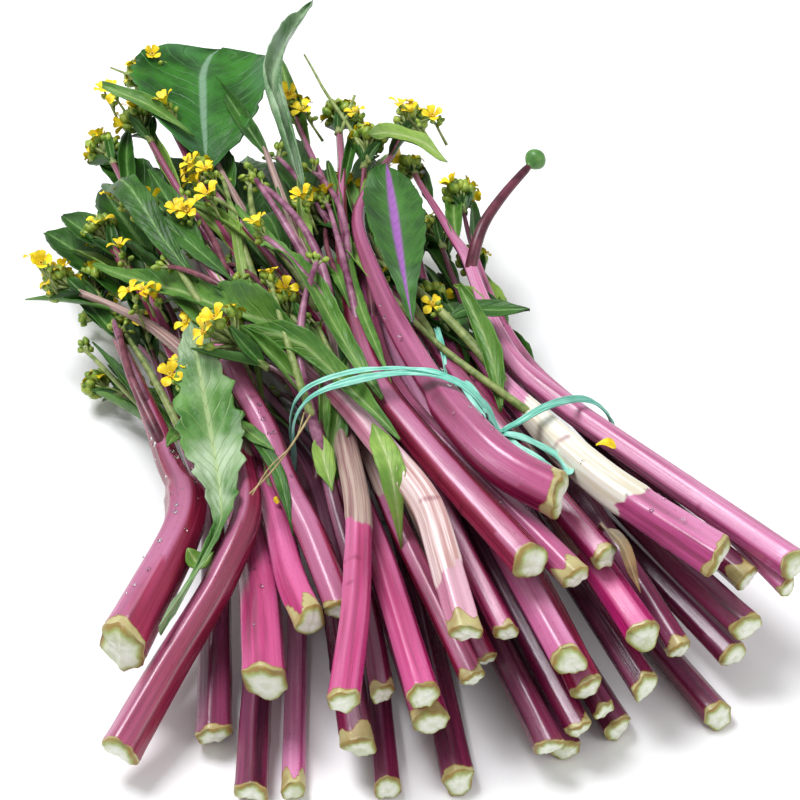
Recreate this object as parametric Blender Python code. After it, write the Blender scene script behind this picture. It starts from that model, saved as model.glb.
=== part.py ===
"""A tied bunch of purple choy sum, lying on a flat surface.

Forty flowering stems lie as a sheaf: thick cut ends at -Y, a flat plastic tie round the waist, and
thin leafy tips with bud heads and four-petalled flowers at +Y. Lengths below are in millimetres and
become metres when a mesh is made. The stems start on the lines that they have in the bunch, and
settle() then lets them push each other apart and sink until they rest on one another.
"""

import math

import bmesh
import bpy
import numpy as np
from mathutils import Matrix, Vector

MM = 0.001

# Driving dimensions of the bunch, in millimetres
TIE_Y = -25.0
TIE_WIDTH = 5.0
TIE_THICKNESS = 1.0
TIE_CLEARANCE = 0.9
STEM_GAP = 1.3
FACE_GAP = 0.35
FLAT_DEPTH = 0.45
FLAT_SNAP = 0.65
SIDES = 7
LOW_SIDES = 6
FACET_DEPTH = math.cos(math.pi / SIDES)
BLADE_THICKNESS = 0.8
HEAD_REACH = 20.0
HEAD_RADIUS = 10.0
LOW_HEAD_RADIUS = 8.0
NECK_RADIUS = 1.7
WAIST_TAPER = 0.76
TIP_TAPER = 0.3

# Each tied stem: radius of its cut end, the centre of that end (x, y, z), where it passes through the
# tie (x, z), and the points of its upper part up to the base of its bud head.
TIED = {
    "stem_01": (6.6, (-66, -158, 58), (-32, 66), [(-18, 22, 70), (-19, 53, 76), (-22, 92, 80), (-21, 150, 80)]),
    "stem_02": (7.2, (-15, -146, 68), (-24, 76), [(-39, 17, 77), (-53, 41, 80), (-67, 86, 82), (-76, 105, 82)]),
    "stem_03": (9.4, (35, -102, 86), (5, 86), [(2, 20, 84), (2, 53, 82), (5, 99, 80), (35, 151, 76), (45, 162, 75)]),
    "stem_04": (8.2, (19, -123, 74), (-12, 78), [(-10, 30, 74), (0, 95, 74), (14, 146, 76), (17, 172, 77)]),
    "stem_05": (6.2, (34, -130, 68), (-4, 72), [(-3, 50, 70), (8, 99, 70), (24, 150, 76)]),
    "stem_06": (9.4, (92, -131, 64), (43, 68), [(36, 5, 68), (32, 29, 66), (28, 47, 62)]),
    "stem_07": (6.8, (122, -138, 58), (58, 66), [(48, 12, 68), (48, 56, 72), (46, 111, 70), (44, 132, 68)]),
    "stem_08": (6.8, (-34, -155, 48), (-31, 54), [(-40, 60, 58), (-52, 150, 68), (-61, 230, 76)]),
    "stem_09": (5.2, (-13, -150, 46), (-22, 58), [(-30, 80, 60), (-42, 150, 66), (-52, 200, 72)]),
    "stem_10": (5.4, (4, -138, 54), (-10, 62), [(-22, 50, 66), (-40, 100, 76), (-50, 130, 80)]),
    "stem_11": (5.0, (-46, -140, 36), (-40, 74), [(-50, -4, 82), (-60, 7, 80), (-74, 13, 72), (-80, 17, 68)]),
    "stem_12": (7.4, (-31, -155, 32), (-30, 42), [(-42, 60, 48), (-62, 140, 64), (-74, 192, 72)]),
    "stem_13": (5.2, (-2, -134, 36), (-20, 68), [(-34, 8, 80), (-39, 24, 87)]),
    "stem_14": (6.2, (50, -121, 60), (24, 74), [(18, 40, 66), (14, 100, 62), (12, 128, 64)]),
    "stem_15": (7.0, (24, -157, 50), (8, 62), [(2, 60, 58), (1, 120, 66), (3, 166, 76)]),
    "stem_16": (7.0, (31, -160, 36), (18, 54), [(12, 60, 50), (0, 100, 62), (-8, 118, 70)]),
    "stem_17": (5.6, (22, -168, 24), (8, 44), [(-4, 60, 40), (-12, 125, 42)]),
    "stem_18": (7.2, (55, -152, 52), (38, 52), [(34, 60, 44), (42, 140, 44)]),
    "stem_19": (6.4, (54, -160, 31), (34, 38), [(24, 60, 34), (26, 160, 34)]),
    "stem_20": (6.6, (12, -171, 22), (-6, 46), [(-14, 50, 44), (-30, 120, 44)]),
    "stem_21": (5.6, (72, -149, 36), (52, 54), [(46, 50, 52), (50, 112, 54)]),
    "stem_22": (4.4, (121, -138, 46), (67, 58), [(56, 20, 58), (54, 90, 58), (53, 112, 60)]),
    "stem_23": (7.0, (101, -147, 38), (62, 44), [(52, 50, 40), (54, 120, 36)]),
    "stem_24": (6.2, (109, -130, 46), (72, 48), [(60, 30, 46), (56, 92, 46)]),
    "stem_25": (6.4, (96, -148, 24), (56, 32), [(48, 50, 26), (46, 130, 20)]),
    "stem_26": (6.4, (84, -166, 8), (50, 14), [(44, 40, 12), (34, 160, 12)]),
    "stem_27": (6.2, (44, -161, 10), (28, 12), [(16, 50, 12), (0, 176, 12)]),
    "stem_28": (6.6, (20, -166, 9), (12, 14), [(2, 50, 14), (-18, 196, 14)]),
    "stem_29": (7.0, (-24, -170, 9), (-10, 18), [(-24, 50, 16), (-48, 180, 14)]),
    "stem_30": (5.6, (-51, -165, 10), (-26, 11), [(-40, 50, 12), (-70, 160, 12)]),
    "stem_31": (7.6, (-59, -153, 24), (-42, 30), [(-56, 40, 30), (-92, 136, 26)]),
    "stem_32": (5.4, (35, -163, 26), (20, 32), [(8, 50, 30), (-8, 150, 24)]),
}
LOOSE = {
    "stem_33": (11.0, (-137, -96, 42), (-101, 50), [(-102, 20, 51), (-106, 67, 50), (-110, 118, 48)]),
    "stem_34": (8.2, (-147, -129, 22), (-70, 52), [(-69, -3, 58), (-79, 44, 60), (-93, 80, 56), (-113, 110, 52)]),
    "stem_35": (7.8, (-110, -124, 14), (-88, 26), [(-90, 32, 34), (-92, 84, 46)]),
    "stem_36": (9.6, (-89, -127, 42), (-76, 40), [(-76, 20, 44), (-88, 90, 52), (-100, 134, 58)]),
    "stem_37": (6.8, (-62, -109, 52), (-69, 50), [(-73, 10, 48), (-77, 52, 52)]),
    "stem_38": (6.6, (-52, -106, 50), (-54, 60), [(-63, 8, 66), (-70, 61, 74), (-78, 97, 75), (-85, 155, 74), (-85, 190, 70)]),
    "stem_39": (7.0, (-102, -154, 9), (-70, 16), [(-92, 40, 22), (-112, 78, 20)]),
    "stem_40": (4.8, (-86, -156, 6), (-56, 12), [(-78, 60, 14), (-100, 140, 12)]),
}
# Points between a cut end and the tie, for the stems that bend there
BENDS = {
    "stem_01": [(-51, -118, 61), (-38, -70, 65)],
    "stem_02": [(-11, -100, 74), (-11, -76, 77)],
    "stem_03": [(20, -87, 88), (11, -65, 88)],
    "stem_06": [(61, -81, 68)],
    "stem_33": [(-100, -40, 50)],
    "stem_34": [(-122, -104, 32), (-88, -74, 44), (-70, -46, 50)],
    "stem_36": [(-83, -86, 44)],
}
STEMS = {**TIED, **LOOSE}
# Stems with smaller heads, low in the bunch, and one whose head was picked
LOW_HEADS = {"stem_17", "stem_18", "stem_19", "stem_20", "stem_21", "stem_23", "stem_24", "stem_25", "stem_26"}
LOW_HEADS |= {"stem_27", "stem_28", "stem_29", "stem_30", "stem_31", "stem_32", "stem_39", "stem_40"}
PICKED = {"stem_01"}

# How the stems settle
STATIONS = 25
SETTLE_STEPS = 110
CALM_STEPS = 24
PULL_HOME = 0.02
SINK_STEP = 0.12
PUSH_SHARE = 0.5
STIFFNESS = 0.5
TRIM_SHARE = 0.55
THINNING = 0.55

# The broad back leaf lies on a shelf kept free between the low and the high stem tips.
SHELF_X = (-80, 14)
SHELF_Y = 178
SHELF_Z = (31, 47)
SHELF_EDGE = 8.0

# Room under and round the tie, and how far along the bunch the stems heed it
TIE_ROOM = 4.0
LOOSE_ROOM = 1.5
TIE_WINDOW = 22.0
TIE_FADE = 30.0
SLAB_HALF = 8.0
LEAF_SLAB_HALF = 9.0

# The tie lies a little askew, and its knot is pulled towards the cut ends.
TIE_SKEW = 10.0
KNOT_ANGLE = math.radians(76)
KNOT_FORWARD = 16.0
KNOT_SPREAD = 0.38


def smooth_line(points, count):
    """Points at equal steps along a Catmull-Rom curve through the given ones."""
    knots = np.array(points, float)
    padded = np.vstack([2 * knots[0] - knots[1], knots, 2 * knots[-1] - knots[-2]])
    fine = []
    for a, b, c, d in zip(padded, padded[1:], padded[2:], padded[3:]):
        for t in np.linspace(0, 1, 24, endpoint=False):
            square = t * t * (a - 2.5 * b + 2 * c - 0.5 * d)
            cube = t**3 * 0.5 * (3 * b - a - 3 * c + d)
            fine.append(b + 0.5 * t * (c - a) + square + cube)
    fine = np.array(fine + [knots[-1]])
    run = np.concatenate([[0], np.cumsum(np.linalg.norm(np.diff(fine, axis=0), axis=1))])
    even = np.linspace(0, run[-1], count)
    return np.stack([np.interp(even, run, fine[:, axis]) for axis in range(3)], 1)


def stem_line(name):
    """Where a stem is meant to lie, from its cut end to the far end of its bud head."""
    radius, cut, waist, upper = STEMS[name]
    end, before = np.array(upper[-1], float), np.array(upper[-2], float)
    tip = end + HEAD_REACH * (end - before) / np.linalg.norm(end - before)
    middle = BENDS.get(name, []) + [(waist[0], TIE_Y, waist[1])]
    return smooth_line([cut, *middle, *upper, tuple(tip)], STATIONS)


def stem_radii(name, line):
    """Radius at each station: a slow taper to the tie, a quicker one to the neck, then the bud head."""
    cut_radius = STEMS[name][0]
    run = np.concatenate([[0], np.cumsum(np.linalg.norm(np.diff(line, axis=0), axis=1))])
    neck = run[-1] - HEAD_REACH
    tip = max(NECK_RADIUS, cut_radius * TIP_TAPER)
    head = head_radius(name)
    places = [0, 0.45 * neck, 0.93 * neck, neck, neck + 1, run[-1]]
    sizes = [cut_radius, cut_radius * WAIST_TAPER, tip, tip, head, head]
    return np.interp(run, places, sizes)


def head_radius(name):
    """Half the width of a stem's bud head."""
    if name in PICKED:
        return NECK_RADIUS
    return LOW_HEAD_RADIUS if name in LOW_HEADS else HEAD_RADIUS


def overlaps(place, radii, index):
    """How deep each station of one stem lies in each other stem, and the way out of it."""
    points = place[index][:, None, None, :]
    starts, ends = place[:, :-1], place[:, 1:]
    along = ends - starts
    share = ((points - starts) * along).sum(-1) / (along**2).sum(-1)
    share = np.clip(share, 0, 1)
    away = points - (starts + share[..., None] * along)
    distance = np.sqrt((away**2).sum(-1)) + 1e-6
    other = radii[:, :-1] + share * (radii[:, 1:] - radii[:, :-1])
    depth = radii[index][:, None, None] + other + STEM_GAP - distance
    depth[:, index] = -1e3
    worst = depth.argmax(2)
    rows, columns = np.indices(worst.shape)
    direction = away[rows, columns, worst] / distance[rows, columns, worst][..., None]
    return depth[rows, columns, worst], direction


def waist_slab(place, radii, rows, near_y):
    """Centres and radii of the given stems where they pass near one plane across the bunch."""
    steps = np.linspace(0, 1, 6, endpoint=False)[:, None, None]
    found = []
    for row in rows:
        line, sizes = place[row], radii[row]
        fine = (line[:-1] + steps * (line[1:] - line[:-1])).reshape(-1, 3)
        size = (sizes[:-1] + steps[..., 0] * (sizes[1:] - sizes[:-1])).reshape(-1)
        inside = np.abs(fine[:, 1] - near_y) < SLAB_HALF
        found.append(np.column_stack([fine[inside][:, [0, 2]], size[inside]]))
    return np.vstack(found)


def tie_plane(angle):
    """Where along the bunch the tie lies, at the side of it that faces this way."""
    turn = (angle - KNOT_ANGLE + math.pi) % (2 * math.pi) - math.pi
    return TIE_Y - TIE_SKEW * math.cos(angle) - KNOT_FORWARD * math.exp(-((turn / KNOT_SPREAD) ** 2))


def tie_support(place, radii, rows, angles):
    """How far the tied stems reach in each direction across the bunch, where the tie runs."""
    reach = []
    for angle in angles:
        x, z, size = waist_slab(place, radii, rows, tie_plane(angle)).T
        reach.append((x * math.cos(angle) + z * math.sin(angle) + size).max())
    return np.array(reach)


def settle():
    """Stem lines and radii after the stems have pushed each other apart and sunk onto one another."""
    names = list(STEMS)
    home = np.array([stem_line(name) for name in names])
    place = home.copy()
    radii = np.array([stem_radii(name, line) for name, line in zip(names, home)])
    tied = [row for row, name in enumerate(names) if name in TIED]
    loose = [row for row, name in enumerate(names) if name in LOOSE]
    angles = np.linspace(0, 2 * math.pi, 28, endpoint=False)
    normals = np.stack([np.cos(angles), np.sin(angles)], 1)
    for step in range(SETTLE_STEPS + CALM_STEPS):
        calm = step >= SETTLE_STEPS
        if not calm:
            place += PULL_HOME * (home - place)
            place[:, :, 2] -= SINK_STEP
        moves = np.zeros_like(place)
        for row in range(len(names)):
            depth, direction = overlaps(place, radii, row)
            moves[row] = (np.clip(depth, 0, None)[..., None] * direction).sum(1)
        place += PUSH_SHARE * moves
        keep_outside_tie(place, radii, tied, loose, angles, normals)
        if not calm:
            shift = place - home
            middle = 0.5 * (shift[:, :-2] + shift[:, 2:])
            shift[:, 1:-1] += STIFFNESS * (middle - shift[:, 1:-1])
            place = home + shift
        keep_above_ground(place, radii)
        keep_off_shelf(place, radii)
    return names, place, trimmed(place, radii)


def keep_outside_tie(place, radii, tied, loose, angles, normals):
    """The untied stems stay outside the tie that holds the others."""
    reach = tie_support(place, radii, tied, angles)
    for row in loose:
        near = np.abs(place[row, :, 1] - TIE_Y) < TIE_WINDOW
        for station in np.flatnonzero(near):
            outside = normals @ place[row, station][[0, 2]] - reach
            best = outside.argmax()
            short = radii[row, station] + TIE_ROOM + LOOSE_ROOM - outside[best]
            if short > 0:
                place[row, station, 0] += short * normals[best, 0]
                place[row, station, 2] += short * normals[best, 1]


def keep_above_ground(place, radii):
    """Stems rest on the surface, and above the tie where it passes under them."""
    near_tie = np.exp(-(((place[:, :, 1] - TIE_Y) / TIE_FADE) ** 4))
    lowest = np.maximum(radii * FACET_DEPTH, radii - FLAT_DEPTH) + TIE_ROOM * near_tie
    place[:, :, 2] = np.maximum(place[:, :, 2], lowest)


def keep_off_shelf(place, radii):
    """Low tips stay under the broad back leaf, and high ones over it."""
    x, y, z = place[:, :, 0], place[:, :, 1], place[:, :, 2]
    inside = (x > SHELF_X[0] - SHELF_EDGE) & (x < SHELF_X[1] + SHELF_EDGE) & (y > SHELF_Y - SHELF_EDGE)
    high = z > 0.5 * (SHELF_Z[0] + SHELF_Z[1])
    z[inside & high] = np.maximum(z, SHELF_Z[1] + radii)[inside & high]
    z[inside & ~high] = np.minimum(z, SHELF_Z[0] - radii)[inside & ~high]


def trimmed(place, radii):
    """Radii made a little smaller wherever two stems would still touch."""
    sizes = radii.copy()
    for row in range(len(place)):
        depth = overlaps(place, radii, row)[0].max(1)
        sizes[row] -= TRIM_SHARE * np.clip(depth - (STEM_GAP - 2 * FACE_GAP), 0, None)
    return sizes


# Leaves. Each has the plan of its midrib (x, y, lowest z), its half width along it, how deeply it is
# cupped and waved, and how many waves its edge has. It is laid over what is below it.
LEAVES = {
    "leaf_01": ([(-46, 160, 33), (-43, 190, 39), (-38, 216, 47), (-34, 247, 66)], [4, 22, 32, 35, 29, 12], 6, 1.5, 3),
    "leaf_02": ([(-13, 112, 82), (-14, 150, 92), (-12, 178, 96), (2, 212, 94), (24, 246, 92)], [2, 6, 9, 8, 4, 3.5, 1], 5, 1, 2),
    "leaf_03": ([(6, 2, 60), (16, 56, 64), (24, 98, 64), (30, 130, 64)], [1.5, 4, 10, 14, 13, 5], 0, 1.2, 4),
    "leaf_04": ([(-16, -32, 60), (-26, 18, 60), (-35, 67, 60), (-44, 119, 60)], [2, 4, 6.5, 6, 4, 1], 0, 1, 4),
    "leaf_05": ([(-36, 4, 60), (-57, 30, 60), (-82, 74, 60), (-112, 114, 60)], [1.5, 4, 6, 7, 4, 1], 0, 1.5, 5),
    "leaf_06": ([(-15, -54, 60), (-23, -32, 60), (-42, 2, 60), (-73, 30, 60)], [1.5, 3, 4, 4.5, 3, 1], 0, 1, 3),
    "leaf_07": ([(-124, -97, 34), (-91, -58, 40), (-86, -38, 40), (-84, -6, 40), (-82, 32, 40)], [1.3, 1.3, 1.5, 4, 11, 14, 10, 4], 0, 2, 5),
    "leaf_08": ([(24, 22, 60), (34, 24, 72), (44, 15, 78), (60, 6, 70)], [2, 4, 6, 6, 4, 1], 0, 1, 2),
    "leaf_09": ([(34, -34, 60), (38, -6, 60), (34, 30, 60)], [1.5, 4, 5, 3, 1], 0, 1, 3),
    "leaf_10": ([(24, 134, 60), (36, 146, 70), (50, 142, 72), (58, 128, 60)], [2, 5, 7, 5, 2], 0, 1.5, 3),
    "leaf_11": ([(-50, 176, 60), (-66, 190, 60), (-88, 208, 60)], [1, 4, 5, 4, 1], 0, 1, 2),
    "leaf_12": ([(-72, 66, 60), (-83, 94, 60), (-92, 129, 60), (-96, 176, 56)], [2, 5, 6.5, 5, 1], 0, 1.5, 3),
    "leaf_13": ([(-24, 186, 5), (-22, 212, 5), (-12, 246, 2)], [4, 14, 18, 14, 3], 0, 2, 3),
}
LOW_LEAVES = {"leaf_13"}
TIED_LEAVES = {"leaf_03", "leaf_04", "leaf_06", "leaf_09"}
LEAF_COLUMNS = (-1.0, -0.5, 0.0, 0.5, 1.0)
LEAF_STEP = 14.0
LEAF_CLEARANCE = 0.75
MIDRIB_RISE = 0.7
CELL = 1.5
FIELD_X = (-175.0, 150.0)
FIELD_Y = (-190.0, 285.0)
DRAPE_STEPS = 140
DRAPE_FALL = 0.35
CALM_DRAPE = 40

# The tie and its bow
TIE_SIDES = 26
STRAND_SHIFT = 5.4
STRAND_WIDTH = 3.4
STRAND_SPAN = (math.radians(75), math.radians(152))
KNOT = (30.0, -46.0)
KNOT_RADII = (6.5, 5.0, 3.2)
BOW = {
    "loop": ([(32, -50), (33, -62), (42, -73), (52, -71), (52, -61), (42, -54), (34, -48)], 2.0),
    "long_tail": ([(28, -44), (21, -22), (20, 6), (26, 34)], 1.7),
    "second_tail": ([(32, -42), (29, -20), (31, 2), (25, 16)], 1.6),
    "short_tail": ([(28, -48), (24, -55), (23, -62)], 1.5),
}
BOW_COLUMNS = (-1.0, 1.0)
BOW_STEP = 9.0

# Bud heads
BUD_RADIUS = 2.3
BUD_LENGTH = 6.2
PETAL_LENGTH = 6.5
PETAL_WIDTH = 5.0
PETAL_THICKNESS = 1.5
PETAL_TWIST = 0.2
PETAL_STEP = 0.13
HEAD_MARGIN = 0.5
CORE_PLACE = 9.0
CORE_LENGTH = 20.0
BUD_PLACE = 12.0
BUD_SPREAD = 0.64
FLOWER_PLACE = 10.0
FLOWER_SPREAD = 0.72
STALK_PLACE = 5.0
STALK_RADIUS = 1.2
SEPARATE_HEADS = {"stem_03", "stem_08", "stem_11", "stem_34", "stem_38"}
GOLDEN_ANGLE = math.pi * (3 - math.sqrt(5))

# The side branch of one stem, which ends in a round bud
BRANCH_STEM = "stem_07"
BRANCH = [(48, 57, 71), (52, 64, 79), (57, 71, 82), (72, 84, 86), (86, 95, 89)]
BRANCH_RADII = (2.8, 2.2)
ROUND_BUD_RADIUS = 5.2

# Kinds of piece that are shaded round, with an edge kept where it turns more than this
ROUND_KINDS = {"stem", "head"}
SHARP_ANGLE = math.radians(58)

COLOURS = {
    "stem": (0.42, 0.06, 0.16, 1.0),
    "leaf": (0.07, 0.22, 0.05, 1.0),
    "head": (0.45, 0.50, 0.08, 1.0),
    "tie": (0.20, 0.72, 0.62, 1.0),
}


def material(kind):
    """The plain surface of one kind of piece."""
    name = f"{kind}_surface"
    if name in bpy.data.materials:
        return bpy.data.materials[name]
    made = bpy.data.materials.new(name)
    made.use_nodes = True
    shader = made.node_tree.nodes["Principled BSDF"]
    shader.inputs["Base Color"].default_value = COLOURS[kind]
    shader.inputs["Roughness"].default_value = 0.45
    return made


def add_body(name, bm, kind, collection=None):
    """A named object made of a closed mesh, in metres and with its faces outwards."""
    bmesh.ops.remove_doubles(bm, verts=bm.verts, dist=1e-4)
    bmesh.ops.recalc_face_normals(bm, faces=bm.faces)
    bmesh.ops.scale(bm, vec=(MM, MM, MM), verts=bm.verts)
    mesh = bpy.data.meshes.new(name)
    bm.to_mesh(mesh)
    bm.free()
    mesh.materials.append(material(kind))
    if kind in ROUND_KINDS:
        mesh.shade_smooth()
        mesh.set_sharp_from_angle(angle=SHARP_ANGLE)
    made = bpy.data.objects.new(name, mesh)
    (collection or bpy.context.scene.collection).objects.link(made)
    return made


def thin_out(line, radii):
    """The few stations that a stem's shape needs."""
    rows = np.column_stack([line, radii])
    keep = {0, len(rows) - 1}
    spans = [(0, len(rows) - 1)]
    while spans:
        first, last = spans.pop()
        if last - first < 2:
            continue
        share = np.linspace(0, 1, last - first + 1)[:, None]
        error = np.abs(rows[first : last + 1] - (rows[first] + share * (rows[last] - rows[first]))).max(1)
        worst = int(error.argmax())
        if error[worst] > THINNING:
            keep.add(first + worst)
            spans += [(first, first + worst), (first + worst, last)]
    return sorted(keep)


def ring_axes(line):
    """Sideways and upward directions at each point, with the underside kept level."""
    along = np.gradient(line, axis=0)
    along /= np.linalg.norm(along, axis=1)[:, None]
    side = np.cross(along, (0.0, 0.0, 1.0))
    side /= np.linalg.norm(side, axis=1)[:, None]
    return along, side, np.cross(side, along)


def add_tube(bm, line, radii, sides, slant=(0.0, 0.0)):
    """A closed tube along a line, with a flat side down and its first end cut at a slant."""
    line = np.asarray(line, float)
    along, side, up = ring_axes(line)
    angles = (np.arange(sides) + 0.5) * 2 * math.pi / sides - math.pi / 2
    rings = []
    for index, (centre, radius) in enumerate(zip(line, radii)):
        out = np.outer(np.cos(angles), side[index]) + np.outer(np.sin(angles), up[index])
        points = centre + radius * out
        if index == 0:
            lean = slant[0] * np.cos(angles) + slant[1] * np.sin(angles)
            points = points + np.outer(radius * lean, along[0])
        points[points[:, 2] < FLAT_SNAP, 2] = 0.0
        rings.append([bm.verts.new(point) for point in points])
    for low, high in zip(rings, rings[1:]):
        for a in range(sides):
            b = (a + 1) % sides
            bm.faces.new((low[a], low[b], high[b], high[a]))
    bm.faces.new(rings[0][::-1])
    bm.faces.new(rings[-1])


def add_spindle(bm, centre, direction, radius, length, sides=4, widest=0.5):
    """A pointed oval body, such as a bud."""
    turn = Vector((0, 0, 1)).rotation_difference(Vector(direction)).to_matrix()
    place = [(0, 0, -0.5 * length)]
    for k in range(sides):
        angle = 2 * math.pi * k / sides
        place.append((radius * math.cos(angle), radius * math.sin(angle), (widest - 0.5) * length))
    place.append((0, 0, 0.5 * length))
    verts = [bm.verts.new(Vector(centre) + turn @ Vector(point)) for point in place]
    for k in range(sides):
        after = (k + 1) % sides
        bm.faces.new((verts[0], verts[1 + after], verts[1 + k]))
        bm.faces.new((verts[-1], verts[1 + k], verts[1 + after]))


def add_petal(bm, centre, outward, upward):
    """One flat petal that starts at the middle of its flower."""
    out, up = Vector(outward).normalized(), Vector(upward).normalized()
    side = out.cross(up).normalized()
    half = 0.5 * PETAL_THICKNESS
    base = Vector(centre) - 0.8 * out
    outline = [
        base,
        base + 0.62 * PETAL_LENGTH * out + 0.5 * PETAL_WIDTH * side,
        base + PETAL_LENGTH * out,
        base + 0.62 * PETAL_LENGTH * out - 0.5 * PETAL_WIDTH * side,
    ]
    ring = [bm.verts.new(point) for point in outline]
    top = bm.verts.new(base + 0.5 * PETAL_LENGTH * out + half * up)
    bottom = bm.verts.new(base + 0.5 * PETAL_LENGTH * out - half * up)
    for k in range(4):
        bm.faces.new((ring[k], ring[(k + 1) % 4], top))
        bm.faces.new((ring[(k + 1) % 4], ring[k], bottom))


def head_axes(direction):
    """Two directions across a bud head."""
    axis = Vector(direction).normalized()
    across = axis.cross(Vector((0, 0, 1))).normalized()
    return axis, across, axis.cross(across)


def head_pieces(neck, direction, reach, buds, flowers, turn):
    """Closed meshes of one bud head: its core, the buds round it and its open flowers."""
    axis, across, over = head_axes(direction)
    pieces = [bmesh.new()]
    add_spindle(pieces[0], neck + CORE_PLACE * axis, axis, 0.5 * reach, CORE_LENGTH, 5, 0.6)
    for index in range(buds):
        polar = math.acos(1 - 1.25 * (index + 0.5) / buds)
        angle = turn + index * GOLDEN_ANGLE
        spread = math.cos(angle) * across + math.sin(angle) * over
        out = (math.cos(polar) * axis + math.sin(polar) * spread).normalized()
        bud = bmesh.new()
        middle = neck + BUD_PLACE * axis + BUD_SPREAD * reach * out
        add_spindle(bud, middle, out, BUD_RADIUS, BUD_LENGTH, 4, 0.6)
        pieces.append(bud)
    for index in range(flowers):
        angle = turn + 1.0 + index * 2 * math.pi / flowers
        spread = (math.cos(angle) * across + math.sin(angle) * over).normalized()
        out = (0.9 * axis + spread).normalized()
        middle = neck + FLOWER_PLACE * axis + FLOWER_SPREAD * reach * out
        low = neck + STALK_PLACE * axis
        stalk = bmesh.new()
        add_spindle(stalk, 0.5 * (middle + low), out, STALK_RADIUS, (middle - low).length + STALK_RADIUS, 3)
        pieces.append(stalk)
        first, second = head_axes(out)[1:]
        for petal in range(4):
            lean = petal * math.pi / 2 + 0.4
            flat = math.cos(lean) * first + math.sin(lean) * second
            made = bmesh.new()
            twist = PETAL_TWIST * out.cross(flat)
            add_petal(made, middle + PETAL_STEP * petal * out, flat + 0.25 * out, out - 0.25 * flat + twist)
            pieces.append(made)
    return pieces


def keep_within(bm, neck, direction, line, radii, start):
    """Pull a head's vertices in to the room that its stem was given."""
    axis = np.array(Vector(direction).normalized())
    run = (line - np.array(neck)) @ axis
    for vert in bm.verts:
        offset = np.array(vert.co) - np.array(neck)
        along = max(float(offset @ axis), start)
        across = offset - (offset @ axis) * axis
        middle = min(along, run[-1])
        room = float(np.interp(middle, run, radii)) - HEAD_MARGIN
        outward = across + (along - middle) * axis
        size = np.linalg.norm(outward)
        outward *= room / max(room, size)
        vert.co = Vector(np.array(neck) + middle * axis + outward)
        vert.co.z = max(vert.co.z, 0.0)


def fuse(base, pieces, kind):
    """Join closed pieces to a body with one union, and remove what was joined."""
    group = bpy.data.collections.new(f"{base.name}_pieces")
    bpy.context.scene.collection.children.link(group)
    joined = [add_body(f"{base.name}_piece", piece, kind, group) for piece in pieces]
    union = base.modifiers.new("union", "BOOLEAN")
    union.operation = "UNION"
    union.operand_type = "COLLECTION"
    union.collection = group
    union.solver = "EXACT"
    bpy.context.view_layer.update()
    graph = bpy.context.evaluated_depsgraph_get()
    mesh = bpy.data.meshes.new_from_object(base.evaluated_get(graph))
    base.modifiers.clear()
    old, base.data = base.data, mesh
    mesh.name = base.name
    bpy.data.meshes.remove(old)
    for piece in joined:
        bpy.data.objects.remove(piece)
    bpy.data.collections.remove(group)


class Stem:
    """One settled stem: its line, its radii, and where its bud head starts."""

    def __init__(self, name, line, radii):
        """Split the settled line at the neck."""
        self.name = name
        self.line = line
        self.radii = radii
        self.number = int(name[-2:])
        run = np.concatenate([[0], np.cumsum(np.linalg.norm(np.diff(line, axis=0), axis=1))])
        neck_at = run[-1] - HEAD_REACH
        self.neck = np.array([np.interp(neck_at, run, line[:, axis]) for axis in range(3)])
        before = run < neck_at - 1.0
        thin = max(NECK_RADIUS, STEMS[name][0] * TIP_TAPER)
        self.stalk = np.vstack([line[before], self.neck])
        self.stalk_radii = np.append(radii[before], thin)
        self.direction = line[-1] - self.neck

    def build(self):
        """Make the stalk, with its head fused on or beside it."""
        keep = sorted({*thin_out(self.stalk, self.stalk_radii), self.resting()})
        line, radii = self.stalk[keep], self.stalk_radii[keep]
        if self.name in PICKED:
            line, radii = np.vstack([line, self.line[-1]]), np.append(radii, 1.1)
        slant = (0.22 * math.sin(2.4 * self.number), 0.25 * math.cos(1.7 * self.number))
        stalk = bmesh.new()
        add_tube(stalk, line, radii, LOW_SIDES if self.name in LOW_HEADS else SIDES, slant)
        body = add_body(self.name, stalk, "stem")
        if self.name == BRANCH_STEM:
            fuse(body, [self.branch()], "stem")
        if self.name in PICKED:
            return
        apart = self.name in SEPARATE_HEADS
        reach = head_radius(self.name) - 0.6
        buds, flowers = (5, 0) if self.name in LOW_HEADS else (8, 2) if apart else (6, 1)
        pieces = head_pieces(Vector(self.neck), self.direction, reach, buds, flowers, 1.3 * self.number)
        for piece in pieces:
            keep_within(piece, self.neck, self.direction, self.line, self.radii, FACE_GAP if apart else -4.0)
        if not apart:
            fuse(body, pieces, "stem")
            return
        head = add_body(f"head_{self.number:02d}", pieces[0], "head")
        fuse(head, pieces[1:], "head")

    def resting(self):
        """The last station of the stretch of stalk, from its cut end, that lies on the surface."""
        lifted = self.stalk[:, 2] - self.stalk_radii * FACET_DEPTH > FLAT_SNAP
        return max(0, int(lifted.argmax()) - 1)

    def branch(self):
        """The side branch that bends up and away from its stem."""
        home = np.array(BRANCH[0], float)
        nearest = self.line[np.linalg.norm(self.line[:, 1:2] - home[1], axis=1).argmin()]
        shift = nearest - home
        path = smooth_line(BRANCH, 9) + np.linspace(1, 0.4, 9)[:, None] * shift * (1, 0, 1)
        made = bmesh.new()
        add_tube(made, path, np.linspace(*BRANCH_RADII, 9), 6)
        self.branch_end = path[-1], path[-1] - path[-2]
        return made

    def round_bud(self):
        """The round bud at the end of the side branch."""
        end, direction = self.branch_end
        direction = Vector(direction).normalized()
        bud = bmesh.new()
        bmesh.ops.create_icosphere(bud, subdivisions=2, radius=ROUND_BUD_RADIUS)
        bmesh.ops.translate(bud, verts=bud.verts, vec=Vector(end) + (ROUND_BUD_RADIUS + FACE_GAP) * direction)
        add_body("round_bud", bud, "head")


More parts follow.
